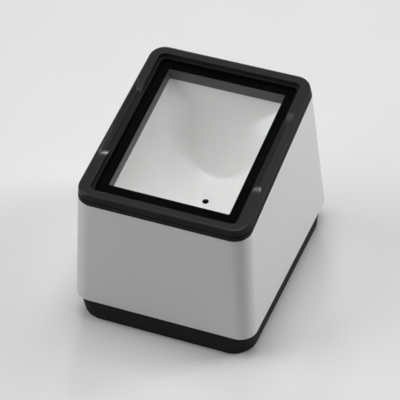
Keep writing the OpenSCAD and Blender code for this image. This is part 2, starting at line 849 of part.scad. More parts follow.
// Way of the camera ribbon: out of the camera's socket, round a half turn and back to the board
ribbon_start = off_slope([
    0, camera_s + camera_board_len / 2, camera_h - camera_board_t - ribbon_socket[2] / 2
]);
ribbon_bend = ribbon_start + ribbon_lead * [0, cos(tilt), sin(tilt)];
ribbon_low = board_top + ribbon_socket[2] / 2;
ribbon_r = (ribbon_bend[2] - ribbon_low) / (1 + cos(tilt));
ribbon_hub = ribbon_bend + ribbon_r * [0, sin(tilt), -cos(tilt)];
ribbon_end_y = ribbon_start[1] - ribbon_socket_in;

// One side of the ribbon, offset from its middle
function ribbon_side(off) = concat(
    [[ribbon_start[1] - off * sin(tilt), ribbon_start[2] + off * cos(tilt)]],
    [
        for (i = [0 : ribbon_steps]) let (a = 90 + tilt - i * (180 + tilt) / ribbon_steps)
            [ribbon_hub[1] + (ribbon_r + off) * cos(a), ribbon_hub[2] + (ribbon_r + off) * sin(a)]
    ],
    [[ribbon_end_y, ribbon_low - off]]
);

module camera_ribbon() {
    outside = ribbon_side(ribbon_t / 2);
    inside = ribbon_side(-ribbon_t / 2);
    last = len(inside) - 1;
    color(silver) translate([-ribbon_w / 2, 0, 0]) rotate([90, 0, 90]) linear_extrude(ribbon_w)
        polygon(concat(outside, [for (i = [last : -1 : 0]) inside[i]]));
}

module ribbon_socket() {
    color(milk) translate([-ribbon_socket[0] / 2, ribbon_end_y - ribbon_socket[1], board_top])
        cube(ribbon_socket);
}

module main_board() {
    color(board_green) difference() {
        translate([-board_w / 2, board_y[0], board_top - board_t])
            cube([board_w, board_y[1] - board_y[0], board_t]);
        for (at = board_screw_at) translate([at[0], at[1], board_top - board_t - over])
            cylinder(d = small_d + 2 * passage, h = board_t + 2 * over);
    }
}

// A flat chip on the main board
module chip(at, size, tint) {
    color(tint) translate([at[0] - size[0] / 2, board_y[0] + at[1] - size[1] / 2, board_top]) cube(size);
}

module decoder_chip() {
    chip(decoder_at, decoder_size, soot);
}

module memory_chip() {
    chip(memory_at, memory_size, soot);
}

module power_chip() {
    chip(power_at, power_size, soot);
}

module crystal() {
    chip(crystal_at, crystal_size, steel);
}

module inductor() {
    chip(inductor_at, inductor_size, charcoal);
}

module capacitors() {
    color(steel) for (x = [-1, 1], i = [0 : 1])
        translate([x * capacitor_x, board_y[1] - capacitor_in - i * capacitor_pitch, board_top])
            cylinder(d = capacitor_d, h = capacitor_h);
}

module buzzer() {
    color(soot) translate([buzzer_at[0], board_y[0] + buzzer_at[1], board_top]) difference() {
        cylinder(d = buzzer_d, h = buzzer_h);
        translate([0, 0, buzzer_h - buzzer_hole_h]) cylinder(d = buzzer_hole_d, h = buzzer_hole_h + over);
    }
}

module jack_body() {
    color(soot) difference() {
        translate([-jack_w / 2, jack_y - jack_len, board_top]) cube([jack_w, jack_len, jack_h]);
        translate([-mouth_w / 2, jack_y - mouth_len, mouth_top - mouth_h])
            cube([mouth_w, mouth_len + over, mouth_h]);
        translate([-latch_w / 2, jack_y - mouth_len, mouth_top - mouth_h - latch_h])
            cube([latch_w, mouth_len + over, latch_h + over]);
    }
}

module jack_contacts() {
    color(gold) for (i = [0 : contact_count - 1])
        translate([
            (i - (contact_count - 1) / 2) * contact_pitch - contact_w / 2,
            jack_y - mouth_len, mouth_top - contact_w
        ]) cube([contact_w, contact_len, contact_w]);
}

module base() {
    cavity_in = base_inset + base_wall;
    color(soot) difference() {
        union() {
            difference() {
                hull() {
                    translate([0, 0, foot_proud]) linear_extrude(base_edge)
                        lower_corners(base_inset + base_edge);
                    translate([0, 0, foot_proud + base_edge])
                        linear_extrude(rim_top - foot_proud - base_edge) lower_corners(base_inset);
                }
                translate([0, 0, floor_top]) linear_extrude(rim_top) lower_outline(cavity_in);
            }
            for (at = base_screw_at) translate([at[0], at[1], foot_proud + base_t / 2])
                cylinder(d = boss_d, h = rim_top - foot_proud - base_t / 2);
            for (at = board_screw_at) translate([at[0], at[1], foot_proud + base_t / 2])
                cylinder(d = board_post_d, h = board_top - board_t - foot_proud - base_t / 2);
        }
        for (at = base_screw_at) translate([at[0], at[1], 0]) {
            cylinder(d = base_head_d + 2 * fit, h = foot_proud + base_seat);
            cylinder(d = base_screw_d + 2 * passage, h = rim_top + over);
        }
        for (at = board_screw_at) translate([at[0], at[1], board_top - board_t - small_grip - fit])
            cylinder(d = small_d + 2 * thread, h = small_grip + fit + over);
        for (at = foot_at) translate([at[0], at[1], 0]) cylinder(d = foot_d + fit, h = foot_t);
        translate([-jack_w / 2 - fit, jack_y - jack_len / 2, base_h])
            cube([jack_w + 2 * fit, jack_len, rim_h + over]);
    }
}

module rubber_feet() {
    color(charcoal) for (at = foot_at) translate([at[0], at[1], 0]) rotate_extrude() polygon([
        [0, 0], [foot_d / 2 - foot_crown, 0], [foot_d / 2, foot_crown], [foot_d / 2, foot_t], [0, foot_t]
    ]);
}

module frame_screws() {
    color(steel) on_slope() frame_screw_places() translate([0, 0, collar_low])
        screw(small_d, collar_t + flange_t + small_grip, small_head_d, small_head_h);
}

module reflector_screws() {
    color(steel) on_slope() reflector_screw_places() translate([0, 0, collar_low - reflector_t])
        screw(small_d, reflector_t + small_grip, small_head_d, small_head_h);
}

module light_screws() {
    color(steel) for (side = [-1, 1]) on_wall(side) light_post_places() translate([0, 0, led_out])
        mirror([0, 0, 1]) screw(small_d, led_board_t + small_grip, small_head_d, small_head_h);
}

module camera_screws() {
    color(steel) on_slope() camera_post_places() translate([0, 0, camera_h - camera_board_t])
        screw(small_d, camera_board_t + small_grip, small_head_d, small_head_h);
}

module board_screws() {
    color(steel) for (at = board_screw_at) translate([at[0], at[1], board_top])
        mirror([0, 0, 1]) screw(small_d, board_t + small_grip, small_head_d, small_head_h);
}

module base_screws() {
    color(steel) for (at = base_screw_at) translate([at[0], at[1], foot_proud + base_seat])
        screw(base_screw_d, rim_top - foot_proud - base_seat + base_grip, base_head_d, base_head_h);
}

housing();
top_frame();
window_glass();
border_film();
window_gasket();
window_collar();
reflector();
left_light_board();
right_light_board();
left_lights();
right_lights();
light_sockets();
left_light_lead();
right_light_lead();
lead_sockets();
camera_board();
image_sensor();
lens_holder();
lens_barrel();
front_lens();
lens_spacer();
rear_lens();
camera_socket();
camera_ribbon();
ribbon_socket();
main_board();
decoder_chip();
memory_chip();
power_chip();
crystal();
inductor();
capacitors();
buzzer();
jack_body();
jack_contacts();
base();
rubber_feet();
frame_screws();
reflector_screws();
light_screws();
camera_screws();
board_screws();
base_screws();
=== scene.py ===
"""Looks of a desktop code scanner with a tilted window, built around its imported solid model.

Sizes in the classes are millimetres in the part's frame, as in the part's source: +X to the
right, +Y to the back, +Z up, origin on the table under the middle. Meshes are in metres.
"""

import logging
import math
from collections.abc import Sequence
from dataclasses import dataclass, field, fields, replace
from enum import Enum
from typing import ClassVar

import bmesh
import bpy
from mathutils import Euler, Matrix, Vector


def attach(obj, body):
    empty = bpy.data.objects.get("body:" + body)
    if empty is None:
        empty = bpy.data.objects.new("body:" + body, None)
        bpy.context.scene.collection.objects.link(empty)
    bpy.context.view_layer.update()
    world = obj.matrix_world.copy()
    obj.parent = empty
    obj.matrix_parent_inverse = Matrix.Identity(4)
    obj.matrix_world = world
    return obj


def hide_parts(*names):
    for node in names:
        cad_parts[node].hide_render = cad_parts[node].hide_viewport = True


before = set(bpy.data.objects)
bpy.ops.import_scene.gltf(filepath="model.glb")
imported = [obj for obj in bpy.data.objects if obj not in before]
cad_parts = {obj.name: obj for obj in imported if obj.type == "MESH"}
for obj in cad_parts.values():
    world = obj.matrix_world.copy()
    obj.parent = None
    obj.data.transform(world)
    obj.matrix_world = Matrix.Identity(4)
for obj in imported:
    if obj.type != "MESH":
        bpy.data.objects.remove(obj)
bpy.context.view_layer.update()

LOG = logging.getLogger("code_scanner")
MM = 0.001
WELD = 1e-6
ROOT = "root"
TURN = "turn"
WHITE = (1.0, 1.0, 1.0, 1.0)
UP = Vector((0.0, 0.0, 1.0))

# The part of a pattern's range that its mapping uses, the finer layers of a cloud, and how
# much finer the haze of the gloss is than the clouds of the colour
MIDDLE = (0.3, 0.7)
CLOUD_DETAIL = 3.0
HAZE_FINER = 3.0

# Joining the triangles of a solid node's copy and rounding its edges
FLAT_ANGLE = math.radians(1.0)
HARD_ANGLE = math.radians(40.0)
BEVEL_STEPS = 2

# Posts, holes of the small screws, and how far a cutter passes the face that it cuts
POST_SIDES = 40
HOLE_SIDES = 24
PILOT_R = 0.95
PILOT_DEPTH = 2.6
PASSAGE_R = 1.05
OVER = 1.0

Flat = tuple[float, float]
Triple = tuple[float, float, float]
Colour = Triple
Loop = list[Vector]
Piece = bpy.types.Object
Socket = bpy.types.NodeSocket
Value = float | Socket


class Slot(Enum):
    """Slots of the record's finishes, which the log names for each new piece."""

    SILVER = "silver_plastic"
    CHARCOAL = "charcoal_plastic"
    BLACK = "black_plastic"
    GLASS = "clear_glass"
    FILM = "black_film"
    FOAM = "black_foam"
    GREY = "grey_plastic"
    WHITE = "white_plastic"
    RESIN = "light_resin"
    IVORY = "ivory_plastic"
    SHEATH = "lead_sheath"
    CHIP = "chip_black"
    STEEL = "bare_steel"
    ALUMINIUM = "bare_aluminium"
    FERRITE = "ferrite"
    GOLD = "gold_contact"
    RUBBER = "foot_rubber"


class Cut(Enum):
    """Ways to combine shapes."""

    AWAY = "DIFFERENCE"
    ON = "UNION"
    COMMON = "INTERSECT"


class Side(Enum):
    """Left or right of the scanner, as the sign of X."""

    LEFT = -1
    RIGHT = 1


def mixed(a: float, b: float, share: float) -> float:
    """A number at a share of the way from one to another."""
    return a + (b - a) * share


def clamped(share: float) -> float:
    """A share kept between 0 and 1."""
    return max(0.0, min(1.0, share))


def soft_max(a: float, b: float, blend: float) -> float:
    """The larger of two heights, with a rounded change where they differ by less than a blend."""
    t = clamped(0.5 + 0.5 * (a - b) / blend)
    return b + (a - b) * t + blend * t * (1.0 - t)


def soft_step(share: float) -> float:
    """A rise from 0 to 1 that starts and ends level."""
    share = clamped(share)
    return share * share * (3.0 - 2.0 * share)


def quarter_round(radius: float, steps: int) -> list[Flat]:
    """Points of a quarter of a circle, as distances from the two faces that it joins."""
    turns = [math.pi / 2 * k / steps for k in range(steps + 1)]
    return [(radius * (1.0 - math.sin(a)), radius * (1.0 - math.cos(a))) for a in turns]


def whole_turn(steps: int) -> list[float]:
    """Angles all round, in equal steps."""
    return [2.0 * math.pi * k / steps for k in range(steps)]


def curve_point(ends: Sequence[Vector], t: float) -> Vector:
    """A point on the curve that runs from the first to the last of four points."""
    u = 1.0 - t
    p, q, r, s = ends
    return p * u ** 3 + q * (3 * t * u * u) + r * (3 * t * t * u) + s * t ** 3


@dataclass(frozen=True)
class Form:
    """Sizes that several pieces share, and the frames that they are given in."""

    top_w: float = 80.0
    top_len: float = 96.0
    tilt: float = math.radians(10.0)
    front_h: float = 56.5
    flare: float = 3.0
    back_run: float = 15.0
    corner_r: float = 8.0
    base_h: float = 11.8
    frame_h: float = 5.8
    shoulder: float = 1.15
    notch_half: float = 8.2
    notch_front: float = 40.6745

    @property
    def half_lower(self) -> float:
        """Half the width at the housing's lower edge."""
        return self.top_w / 2 + self.flare

    @property
    def depth(self) -> float:
        """Depth of the housing's lower edge."""
        return self.top_len * math.cos(self.tilt) + self.back_run

    @property
    def front_y(self) -> float:
        """Front of the housing."""
        return (math.sin(self.tilt) * (self.frame_h - self.shoulder) - self.depth) / 2

    @property
    def back_y(self) -> float:
        """Back of the housing's lower edge."""
        return self.front_y + self.depth

    @property
    def seam_z(self) -> float:
        """Height of the window seam at the front."""
        return self.base_h + self.front_h

    def half_at(self, along: float) -> float:
        """Half the width of the seam at a place along its slope."""
        return self.top_w / 2 - along * math.sin(self.tilt) * self.flare / self.front_h

    def lift(self, x: float, along: float, out: float) -> Vector:
        """Carries a point, across, along and out from the window's slope, to the part's frame."""
        c, s = math.cos(self.tilt), math.sin(self.tilt)
        return Vector((x, self.front_y + along * c - out * s, self.seam_z + along * s + out * c))

    def way(self, x: float, along: float, out: float) -> Vector:
        """Turns a direction of the window's slope into the part's frame."""
        return self.lift(x, along, out) - self.lift(0.0, 0.0, 0.0)


FORM = Form()


@dataclass(frozen=True)
class Pairs:
    """Places in pairs, left and right of the middle line."""

    x: float
    marks: tuple[float, ...]

    def spots(self) -> list[Flat]:
        """The places, those on the left first."""
        return [(side.value * self.x, mark) for side in Side for mark in self.marks]


# Along the window's slope, along a side wall of the bowl, or from front to back
FRAME_SCREWS = Pairs(35.0, (13.9, 48.0, 81.7))
REFLECTOR_SCREWS = Pairs(30.9, (19.65, 77.65))
CAMERA_POSTS = Pairs(10.5, (50.4,))
LIGHT_POSTS = (-17.0, 17.0)
BASE_BOSSES = Pairs(33.5, (-41.867, 42.6745))
BOARD_POSTS = Pairs(24.5, (-36.367, 27.1745))
FEET = Pairs(30.0, (-27.367, 28.1745))


@dataclass(frozen=True)
class Outline:
    """A rounded four-sided outline whose two sides may lean in towards the far end."""

    half_low: float
    half_high: float
    low: float
    high: float
    radius: float
    arc_steps: int = 10
    side_steps: int = 16
    end_steps: int = 12
    stations: tuple[float, ...] = ()

    def grown(self, by: float) -> "Outline":
        """The same outline moved out all round."""
        return replace(
            self, half_low=self.half_low + by, half_high=self.half_high + by,
            low=self.low - by, high=self.high + by, radius=self.radius + by,
        )

    def points(self) -> list[Flat]:
        """Walks the outline against the clock, from the near right corner.

        Returns:
            Points in the outline's plane. Outlines with the same steps match point by point.
        """
        r = self.radius
        arcs: list[list[Flat]] = []
        for side, end, start in ((1, -1, -90.0), (1, 1, 0.0), (-1, 1, 90.0), (-1, -1, 180.0)):
            half = self.half_low if end < 0 else self.half_high
            x, y = side * (half - r), self.low + r if end < 0 else self.high - r
            turns = [
                math.radians(start + 90.0 * k / self.arc_steps) for k in range(self.arc_steps + 1)
            ]
            arcs.append([(x + r * math.cos(a), y + r * math.sin(a)) for a in turns])
        walk: list[Flat] = []
        for i, arc in enumerate(arcs):
            walk += arc
            walk += self._straight(arc[-1], arcs[(i + 1) % 4][0], i % 2 == 0, i == 2)
        return walk

    def _straight(self, start: Flat, stop: Flat, is_side: bool, is_back_way: bool) -> list[Flat]:
        """Points between two arcs.

        Args:
            start: End of the first arc.
            stop: Start of the next arc.
            is_side: Whether the stretch is a side and not an end.
            is_back_way: Whether the stretch is walked from the far end to the near end.

        Returns:
            The points inside the stretch.
        """
        if is_side and self.stations:
            marks = reversed(self.stations) if is_back_way else self.stations
            shares = [(m - start[1]) / (stop[1] - start[1]) for m in marks]
        else:
            steps = self.side_steps if is_side else self.end_steps
            shares = [k / steps for k in range(1, steps)]
        return [(mixed(start[0], stop[0], t), mixed(start[1], stop[1], t)) for t in shares]


def square_outline(half: float, ends: Flat, radius: float, *steps: int) -> Outline:
    """An outline with parallel sides."""
    return Outline(half, half, *ends, radius, *steps)


LOWER_EDGE = square_outline(FORM.half_lower, (FORM.front_y, FORM.back_y), FORM.corner_r)
SEAM = Outline(FORM.half_at(0.0), FORM.half_at(FORM.top_len), 0.0, FORM.top_len, FORM.corner_r)
GLASS_EDGE = square_outline(33.0, (5.1, 90.5), 2.4)


def level_loop(outline: Outline, z: float) -> Loop:
    """Points of an outline at one height above the table."""
    return [Vector((x, y, z)) for x, y in outline.points()]


def slope_loop(outline: Outline, out: float) -> Loop:
    """Points of an outline at one height above the seam."""
    return [FORM.lift(x, s, out) for x, s in outline.points()]


def between(first: Sequence[Vector], second: Sequence[Vector], share: float) -> Loop:
    """Points at a share of the way from one loop to the next."""
    return [a.lerp(b, share) for a, b in zip(first, second)]


def new_object(name: str, data: bpy.types.ID) -> Piece:
    """Links a mesh, a lamp or a camera to the scene as an object at the origin."""
    piece = bpy.data.objects.new(name, data)
    bpy.context.scene.collection.objects.link(piece)
    return piece


def plain_mesh(piece: Piece) -> bpy.types.Mesh:
    """Takes the evaluated shape of an object as a plain mesh, with doubled points merged.

    Args:
        piece: The object.

    Returns:
        The mesh, without the faces that fall flat where points merge.
    """
    graph = bpy.context.evaluated_depsgraph_get()
    mesh = bpy.data.meshes.new_from_object(piece.evaluated_get(graph), depsgraph=graph)
    shell = bmesh.new()
    shell.from_mesh(mesh)
    bmesh.ops.remove_doubles(shell, verts=shell.verts, dist=WELD)
    bmesh.ops.dissolve_degenerate(shell, edges=shell.edges, dist=WELD)
    shell.to_mesh(mesh)
    shell.free()
    return mesh


def drop_object(piece: Piece) -> None:
    """Removes an object and its mesh."""
    mesh = piece.data
    bpy.data.objects.remove(piece)
    bpy.data.meshes.remove(mesh)


def ease_shading(piece: Piece, sharp: float = 35.0) -> None:
    """Shades a piece smoothly up to an angle between faces.

    Args:
        piece: The piece.
        sharp: Angle in degrees past which an edge stays sharp.
    """
    piece.data.shade_smooth()
    piece.data.set_sharp_from_angle(angle=math.radians(sharp))
    weighted = piece.modifiers.new("even_normals", "WEIGHTED_NORMAL")
    weighted.keep_sharp = True


def hand_over(piece: Piece, slot: Slot, *nodes: str) -> Piece:
    """Gives a finished piece to the frame.

    Args:
        piece: The piece.
        slot: The record's slot for its finish, which is only logged.
        nodes: The solid nodes that it stands for.

    Returns:
        The piece.
    """
    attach(piece, ROOT)
    if nodes:
        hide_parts(*nodes)
    LOG.info("%s: %d faces, %s", piece.name, len(piece.data.polygons), slot.value)
    return piece


class LoopMesh:
    """Collects closed loops of points and the skins between them."""

    def __init__(self) -> None:
        """Starts an empty mesh."""
        self._mesh = bmesh.new()

    def skin(self, loops: Sequence[Loop], ring: bool = False) -> list[list[bmesh.types.BMVert]]:
        """Skins loops in their order.

        Args:
            loops: Loops that match point by point, in millimetres.
            ring: Whether the last loop joins the first.

        Returns:
            The vertices of each loop.
        """
        rows = [[self._mesh.verts.new(p * MM) for p in loop] for loop in loops]
        pairs = list(zip(rows, rows[1:])) + ([(rows[-1], rows[0])] if ring else [])
        for low, high in pairs:
            for i in range(len(low)):
                j = (i + 1) % len(low)
                self._mesh.faces.new((low[i], low[j], high[j], high[i]))
        return rows

    def cap(self, row: Sequence[bmesh.types.BMVert]) -> None:
        """Closes a loop with one face."""
        self._mesh.faces.new(row)

    def rod(self, loops: Sequence[Loop]) -> None:
        """Skins loops and closes both ends."""
        rows = self.skin(loops)
        self.cap(rows[0])
        self.cap(rows[-1])

    def disc_rod(self, start: Vector, stop: Vector, radius: float, sides: int) -> None:
        """Adds a round rod.

        Args:
            start: Middle of one end.
            stop: Middle of the other end.
            radius: Its radius.
            sides: Number of sides.
        """
        turn = (stop - start).to_track_quat("Z", "Y")
        ring = [
            turn @ Vector((radius * math.cos(a), radius * math.sin(a), 0.0))
            for a in whole_turn(sides)
        ]
        self.rod([[start + p for p in ring], [stop + p for p in ring]])

    def upright_rods(self, at: Pairs, z: Flat, radius: float, sides: int = POST_SIDES) -> None:
        """Adds round rods that stand upright.

        Args:
            at: Their places, across and from front to back.
            z: Heights of their ends above the table.
            radius: Their radius.
            sides: Number of sides.
        """
        for spot in at.spots():
            self.disc_rod(*(Vector((*spot, end)) for end in z), radius, sides)

    def slope_rods(self, at: Pairs, out: Flat, radius: float, sides: int = HOLE_SIDES) -> None:
        """Adds round rods that stand square to the window.

        Args:
            at: Their places, across and along the slope.
            out: Heights of their ends above the seam.
            radius: Their radius.
            sides: Number of sides.
        """
        for spot in at.spots():
            self.disc_rod(*(FORM.lift(*spot, end) for end in out), radius, sides)

    def block(self, low: Vector, high: Vector) -> None:
        """Adds a square block between two corners."""
        flat = [(low.x, low.y), (high.x, low.y), (high.x, high.y), (low.x, high.y)]
        self.rod([[Vector((x, y, z)) for x, y in flat] for z in (low.z, high.z)])

    def piece(self, name: str) -> Piece:
        """Turns what was collected into an object with its faces outwards.

        Args:
            name: Name of the object.

        Returns:
            The object.
        """
        bmesh.ops.remove_doubles(self._mesh, verts=self._mesh.verts, dist=WELD / 10)
        bmesh.ops.recalc_face_normals(self._mesh, faces=self._mesh.faces)
        mesh = bpy.data.meshes.new(name)
        self._mesh.to_mesh(mesh)
        self._mesh.free()
        return new_object(name, mesh)

    def combine(self, piece: Piece, way: Cut) -> None:
        """Cuts what was collected from a piece, or joins it on.

        Args:
            piece: The piece that is changed.
            way: Cut away or join on.
        """
        tool = self.piece("tool")
        step = piece.modifiers.new("combine", "BOOLEAN")
        step.object = tool
        step.operation = way.value
        step.solver = "EXACT"
        made = plain_mesh(piece)
        piece.modifiers.clear()
        old, piece.data = piece.data, made
        bpy.data.meshes.remove(old)
        drop_object(tool)


def skinned(name: str, loops: Sequence[Loop]) -> Piece:
    """A piece from rings that close on themselves."""
    mesh = LoopMesh()
    mesh.skin(loops, ring=True)
    return mesh.piece(name)


def eased_copy(node: str, name: str, width: float) -> Piece:
    """Copies a solid node's mesh, joins its triangles and rounds its edges.

    Args:
        node: Name of the node.
        name: Name of the copy.
        width: Width of the rounding.

    Returns:
        The copy.
    """
    body = bmesh.new()
    body.from_mesh(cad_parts[node].data)
    bmesh.ops.remove_doubles(body, verts=body.verts, dist=2 * WELD)
    bmesh.ops.dissolve_limit(
        body, angle_limit=FLAT_ANGLE, verts=body.verts, edges=body.edges,
        use_dissolve_boundaries=False,
    )
    joined = [edge for edge in body.edges if len(edge.link_faces) == 2]
    bmesh.ops.bevel(
        body, geom=[edge for edge in joined if edge.calc_face_angle() > HARD_ANGLE],
        offset=width * MM, segments=BEVEL_STEPS, profile=0.5, affect="EDGES", clamp_overlap=True,
    )
    mesh = bpy.data.meshes.new(name)
    body.to_mesh(mesh)
    body.free()
    piece = new_object(name, mesh)
    ease_shading(piece)
    return piece


class NodePen:
    """Draws the node tree of one material."""

    def __init__(self, name: str) -> None:
        """Starts a material with a plain surface shader.

        Args:
            name: Name of the material.
        """
        self.material = bpy.data.materials.new(name)
        self.material.use_nodes = True
        self.nodes = self.material.node_tree.nodes
        self.links = self.material.node_tree.links
        self.shader = self.nodes["Principled BSDF"]
        self.place = self.nodes.new("ShaderNodeTexCoord").outputs["Object"]

    def constants(self, **values: float) -> None:
        """Sets numbers on the shader's own sockets, with _ for a space in a socket's name."""
        for key, value in values.items():
            self.shader.inputs[key.replace("_", " ")].default_value = value

    def noise(self, size: float, detail: float = 2.0, stretch: Triple = (1.0, 1.0, 1.0)) -> Socket:
        """Adds a cloudy pattern.

        Args:
            size: Size of a cloud.
            detail: Number of finer layers.
            stretch: Scale of the pattern along each axis.

        Returns:
            The pattern, from 0 to 1.
        """
        grid = self.nodes.new("ShaderNodeMapping")
        grid.inputs["Scale"].default_value = stretch
        self.links.new(self.place, grid.inputs["Vector"])
        cloud = self.nodes.new("ShaderNodeTexNoise")
        cloud.inputs["Scale"].default_value = 1.0 / (size * MM)
        cloud.inputs["Detail"].default_value = detail
        self.links.new(grid.outputs[0], cloud.inputs["Vector"])
        return cloud.outputs[0]

    def cells(self, size: float) -> Socket:
        """Adds a pattern of small cells, as the distance from each one's middle."""
        grid = self.nodes.new("ShaderNodeTexVoronoi")
        grid.inputs["Scale"].default_value = 1.0 / (size * MM)
        self.links.new(self.place, grid.inputs["Vector"])
        return grid.outputs["Distance"]

    def stored(self, attribute: str) -> Socket:
        """Reads a number that the piece's points carry."""
        made = self.nodes.new("ShaderNodeAttribute")
        made.attribute_name = attribute
        return made.outputs["Fac"]

    def spread(self, source: Socket, low: float, high: float) -> Socket:
        """Maps the middle of a pattern to a range of numbers.

        Args:
            source: The pattern.
            low: Number where the pattern is dark.
            high: Number where it is bright.

        Returns:
            The mapped numbers.
        """
        span = self.nodes.new("ShaderNodeMapRange")
        for index, value in enumerate((*MIDDLE, low, high), 1):
            span.inputs[index].default_value = value
        self.links.new(source, span.inputs[0])
        return span.outputs[0]

    def toned(self, source: Socket, colour: Colour, share: float) -> Socket:
        """Maps the middle of a pattern to tones of one colour.

        Args:
            source: The pattern.
            colour: The colour.
            share: How far the tones go below and above it.

        Returns:
            The colours.
        """
        ramp = self.nodes.new("ShaderNodeValToRGB")
        for element, position, step in zip(ramp.color_ramp.elements, MIDDLE, (-share, share)):
            element.position = position
            element.color = shaded(colour, 1.0 + step)
        self.links.new(source, ramp.inputs[0])
        return ramp.outputs[0]

    def relief(self, source: Socket, depth: float) -> None:
        """Raises the surface by a pattern, on top of what raises it already.

        Args:
            source: The pattern.
            depth: Height of the relief.
        """
        bump = self.nodes.new("ShaderNodeBump")
        bump.inputs["Strength"].default_value = 1.0
        bump.inputs["Distance"].default_value = depth * MM
        self.links.new(source, bump.inputs["Height"])
        before = self.shader.inputs["Normal"]
        if before.is_linked:
            self.links.new(before.links[0].from_socket, bump.inputs["Normal"])
        self.links.new(bump.outputs[0], before)

    def feed(self, source: Socket, name: str) -> None:
        """Links a pattern to one of the shader's sockets."""
        self.links.new(source, self.shader.inputs[name])


def shaded(colour: Colour, share: float = 1.0) -> tuple[float, ...]:
    """A colour made lighter or darker by a share of itself, with full cover."""
    return (*(min(1.0, c * share) for c in colour), 1.0)


MADE: dict[str, bpy.types.Material] = {}


@dataclass(frozen=True)
class Finish:
    """A surface with cloudy colour, uneven gloss and a fine relief."""

    name: str
    colour: Colour
    roughness: float
    mottle: float = 0.05
    mottle_size: float = 9.0
    gloss_spread: float = 0.05
    grain_size: float = 0.4
    grain_depth: float = 0.01
    metallic: float = 0.0
    specular: float = 0.5

    def material(self) -> bpy.types.Material:
        """Makes the material once, and gives it again after that."""
        if self.name not in MADE:
            MADE[self.name] = self.draw()
        return MADE[self.name]

    def draw(self) -> bpy.types.Material:
        """Draws the whole tree: colour, gloss, grain and what a finish adds to them.

        Returns:
            The material.
        """
        pen = NodePen(self.name)
        pen.constants(Metallic=self.metallic, Specular_IOR_Level=self.specular)
        pen.feed(self.colouring(pen), "Base Color")
        pen.feed(self.glossing(pen), "Roughness")
        pen.relief(pen.noise(self.grain_size), self.grain_depth)
        self.add_to(pen)
        return pen.material

    def colouring(self, pen: NodePen) -> Socket:
        """Draws the colour, in faint clouds."""
        return pen.toned(pen.noise(self.mottle_size, CLOUD_DETAIL), self.colour, self.mottle)

    def glossing(self, pen: NodePen) -> Socket:
        """Draws the roughness, in a faint haze."""
        haze, wide = pen.noise(self.mottle_size / HAZE_FINER), self.gloss_spread
        return pen.spread(haze, self.roughness - wide, self.roughness + wide)

    def add_to(self, pen: NodePen) -> None:
        """Adds what only this finish has: nothing for a plain one."""

    def dress(self, piece: Piece) -> Piece:
        """Puts the finish on a piece or a solid node.

        Args:
            piece: The object.

        Returns:
            The object.
        """
        piece.data.materials.clear()
        piece.data.materials.append(self.material())
        return piece

    def dress_nodes(self, *nodes: str) -> None:
        """Puts the finish on solid nodes that stay."""
        for node in nodes:
            self.dress(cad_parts[node])
            LOG.info("%s: kept, %s", node, self.name)

    def mould(self, node: str, slot: Slot, width: float, name: str = "") -> None:
        """Hands over a copy of a solid node with rounded edges.

        Args:
            node: Name of the node.
            slot: The record's slot for the finish.
            width: Width of the rounding.
            name: Name of the copy, if it isn't the node's with an ending.
        """
        hand_over(self.dress(eased_copy(node, name or f"{node}_moulded", width)), slot, node)


@dataclass(frozen=True)
class SilverLacquer(Finish):
    """Sprayed silver: fine flakes under a satin skin, with a slight ripple."""

    flake_size: float = 0.16
    flake_share: float = 0.05
    ripple_size: float = 2.6
    ripple_depth: float = 0.004

    def colouring(self, pen: NodePen) -> Socket:
        """Draws the flakes, bright in their middles."""
        return pen.toned(pen.cells(self.flake_size), self.colour, -self.flake_share)

    def add_to(self, pen: NodePen) -> None:
        """Adds the ripple of the spray."""
        pen.relief(pen.noise(self.ripple_size), self.ripple_depth)


@dataclass(frozen=True)
class PaintedTopLightPlastic(Finish):
    """Dark plastic with painted light: its top has a darker tone with a stronger sheen, and its
    sides a lighter, nearly matte tone, for how light falls on each.
    """

    polished: Colour = (0.016, 0.016, 0.0163)
    polished_specular: float = 0.145
    attribute: str = "painted_top"

    def colouring(self, pen: NodePen) -> Socket:
        """Draws the side colour and the painted top tone, mixed by the piece's own attribute.

        Args:
            pen: The material's pen.

        Returns:
            The colours.
        """
        cloud = pen.noise(self.mottle_size, CLOUD_DETAIL)
        mix = pen.nodes.new("ShaderNodeMix")
        mix.data_type = "RGBA"
        pen.links.new(pen.stored(self.attribute), mix.inputs[0])
        for index, colour in ((6, self.colour), (7, self.polished)):
            pen.links.new(pen.toned(cloud, colour, self.mottle), mix.inputs[index])
        return mix.outputs[2]

    def add_to(self, pen: NodePen) -> None:
        """Adds the painted sheen of the top, as a higher specular level there."""
        gloss = pen.spread(pen.stored(self.attribute), self.specular, self.polished_specular)
        pen.feed(gloss, "Specular IOR Level")


@dataclass(frozen=True)
class MilkyPlastic(Finish):
    """White plastic that light seeps into."""

    seep: float = 0.25
    seep_depth: float = 0.8

    def add_to(self, pen: NodePen) -> None:
        """Adds the light that seeps below the surface."""
        pen.constants(Subsurface_Weight=self.seep, Subsurface_Scale=self.seep_depth * MM)


@dataclass(frozen=True)
class ClearPane(Finish):
    """Coated window glass: clear, with a weak mirror that grows at low angles."""

    index: float = 1.045

    def draw(self) -> bpy.types.Material:
        """Mixes a clear surface with a mirror by the angle of view.

        Returns:
            The material.
        """
        pen = NodePen(self.name)
        pen.nodes.remove(pen.shader)
        clear = pen.nodes.new("ShaderNodeBsdfTransparent")
        clear.inputs["Color"].default_value = shaded(self.colour)
        mirror = pen.nodes.new("ShaderNodeBsdfGlossy")
        mirror.inputs["Color"].default_value = WHITE
        haze = pen.noise(self.mottle_size)
        gloss = pen.spread(haze, self.roughness, self.roughness + self.gloss_spread)
        pen.links.new(gloss, mirror.inputs["Roughness"])
        angle = pen.nodes.new("ShaderNodeFresnel")
        angle.inputs["IOR"].default_value = self.index
        mix = pen.nodes.new("ShaderNodeMixShader")
        for socket, source in zip(mix.inputs, (angle, clear, mirror)):
            pen.links.new(source.outputs[0], socket)
        pen.links.new(mix.outputs[0], pen.nodes["Material Output"].inputs["Surface"])
        return pen.material


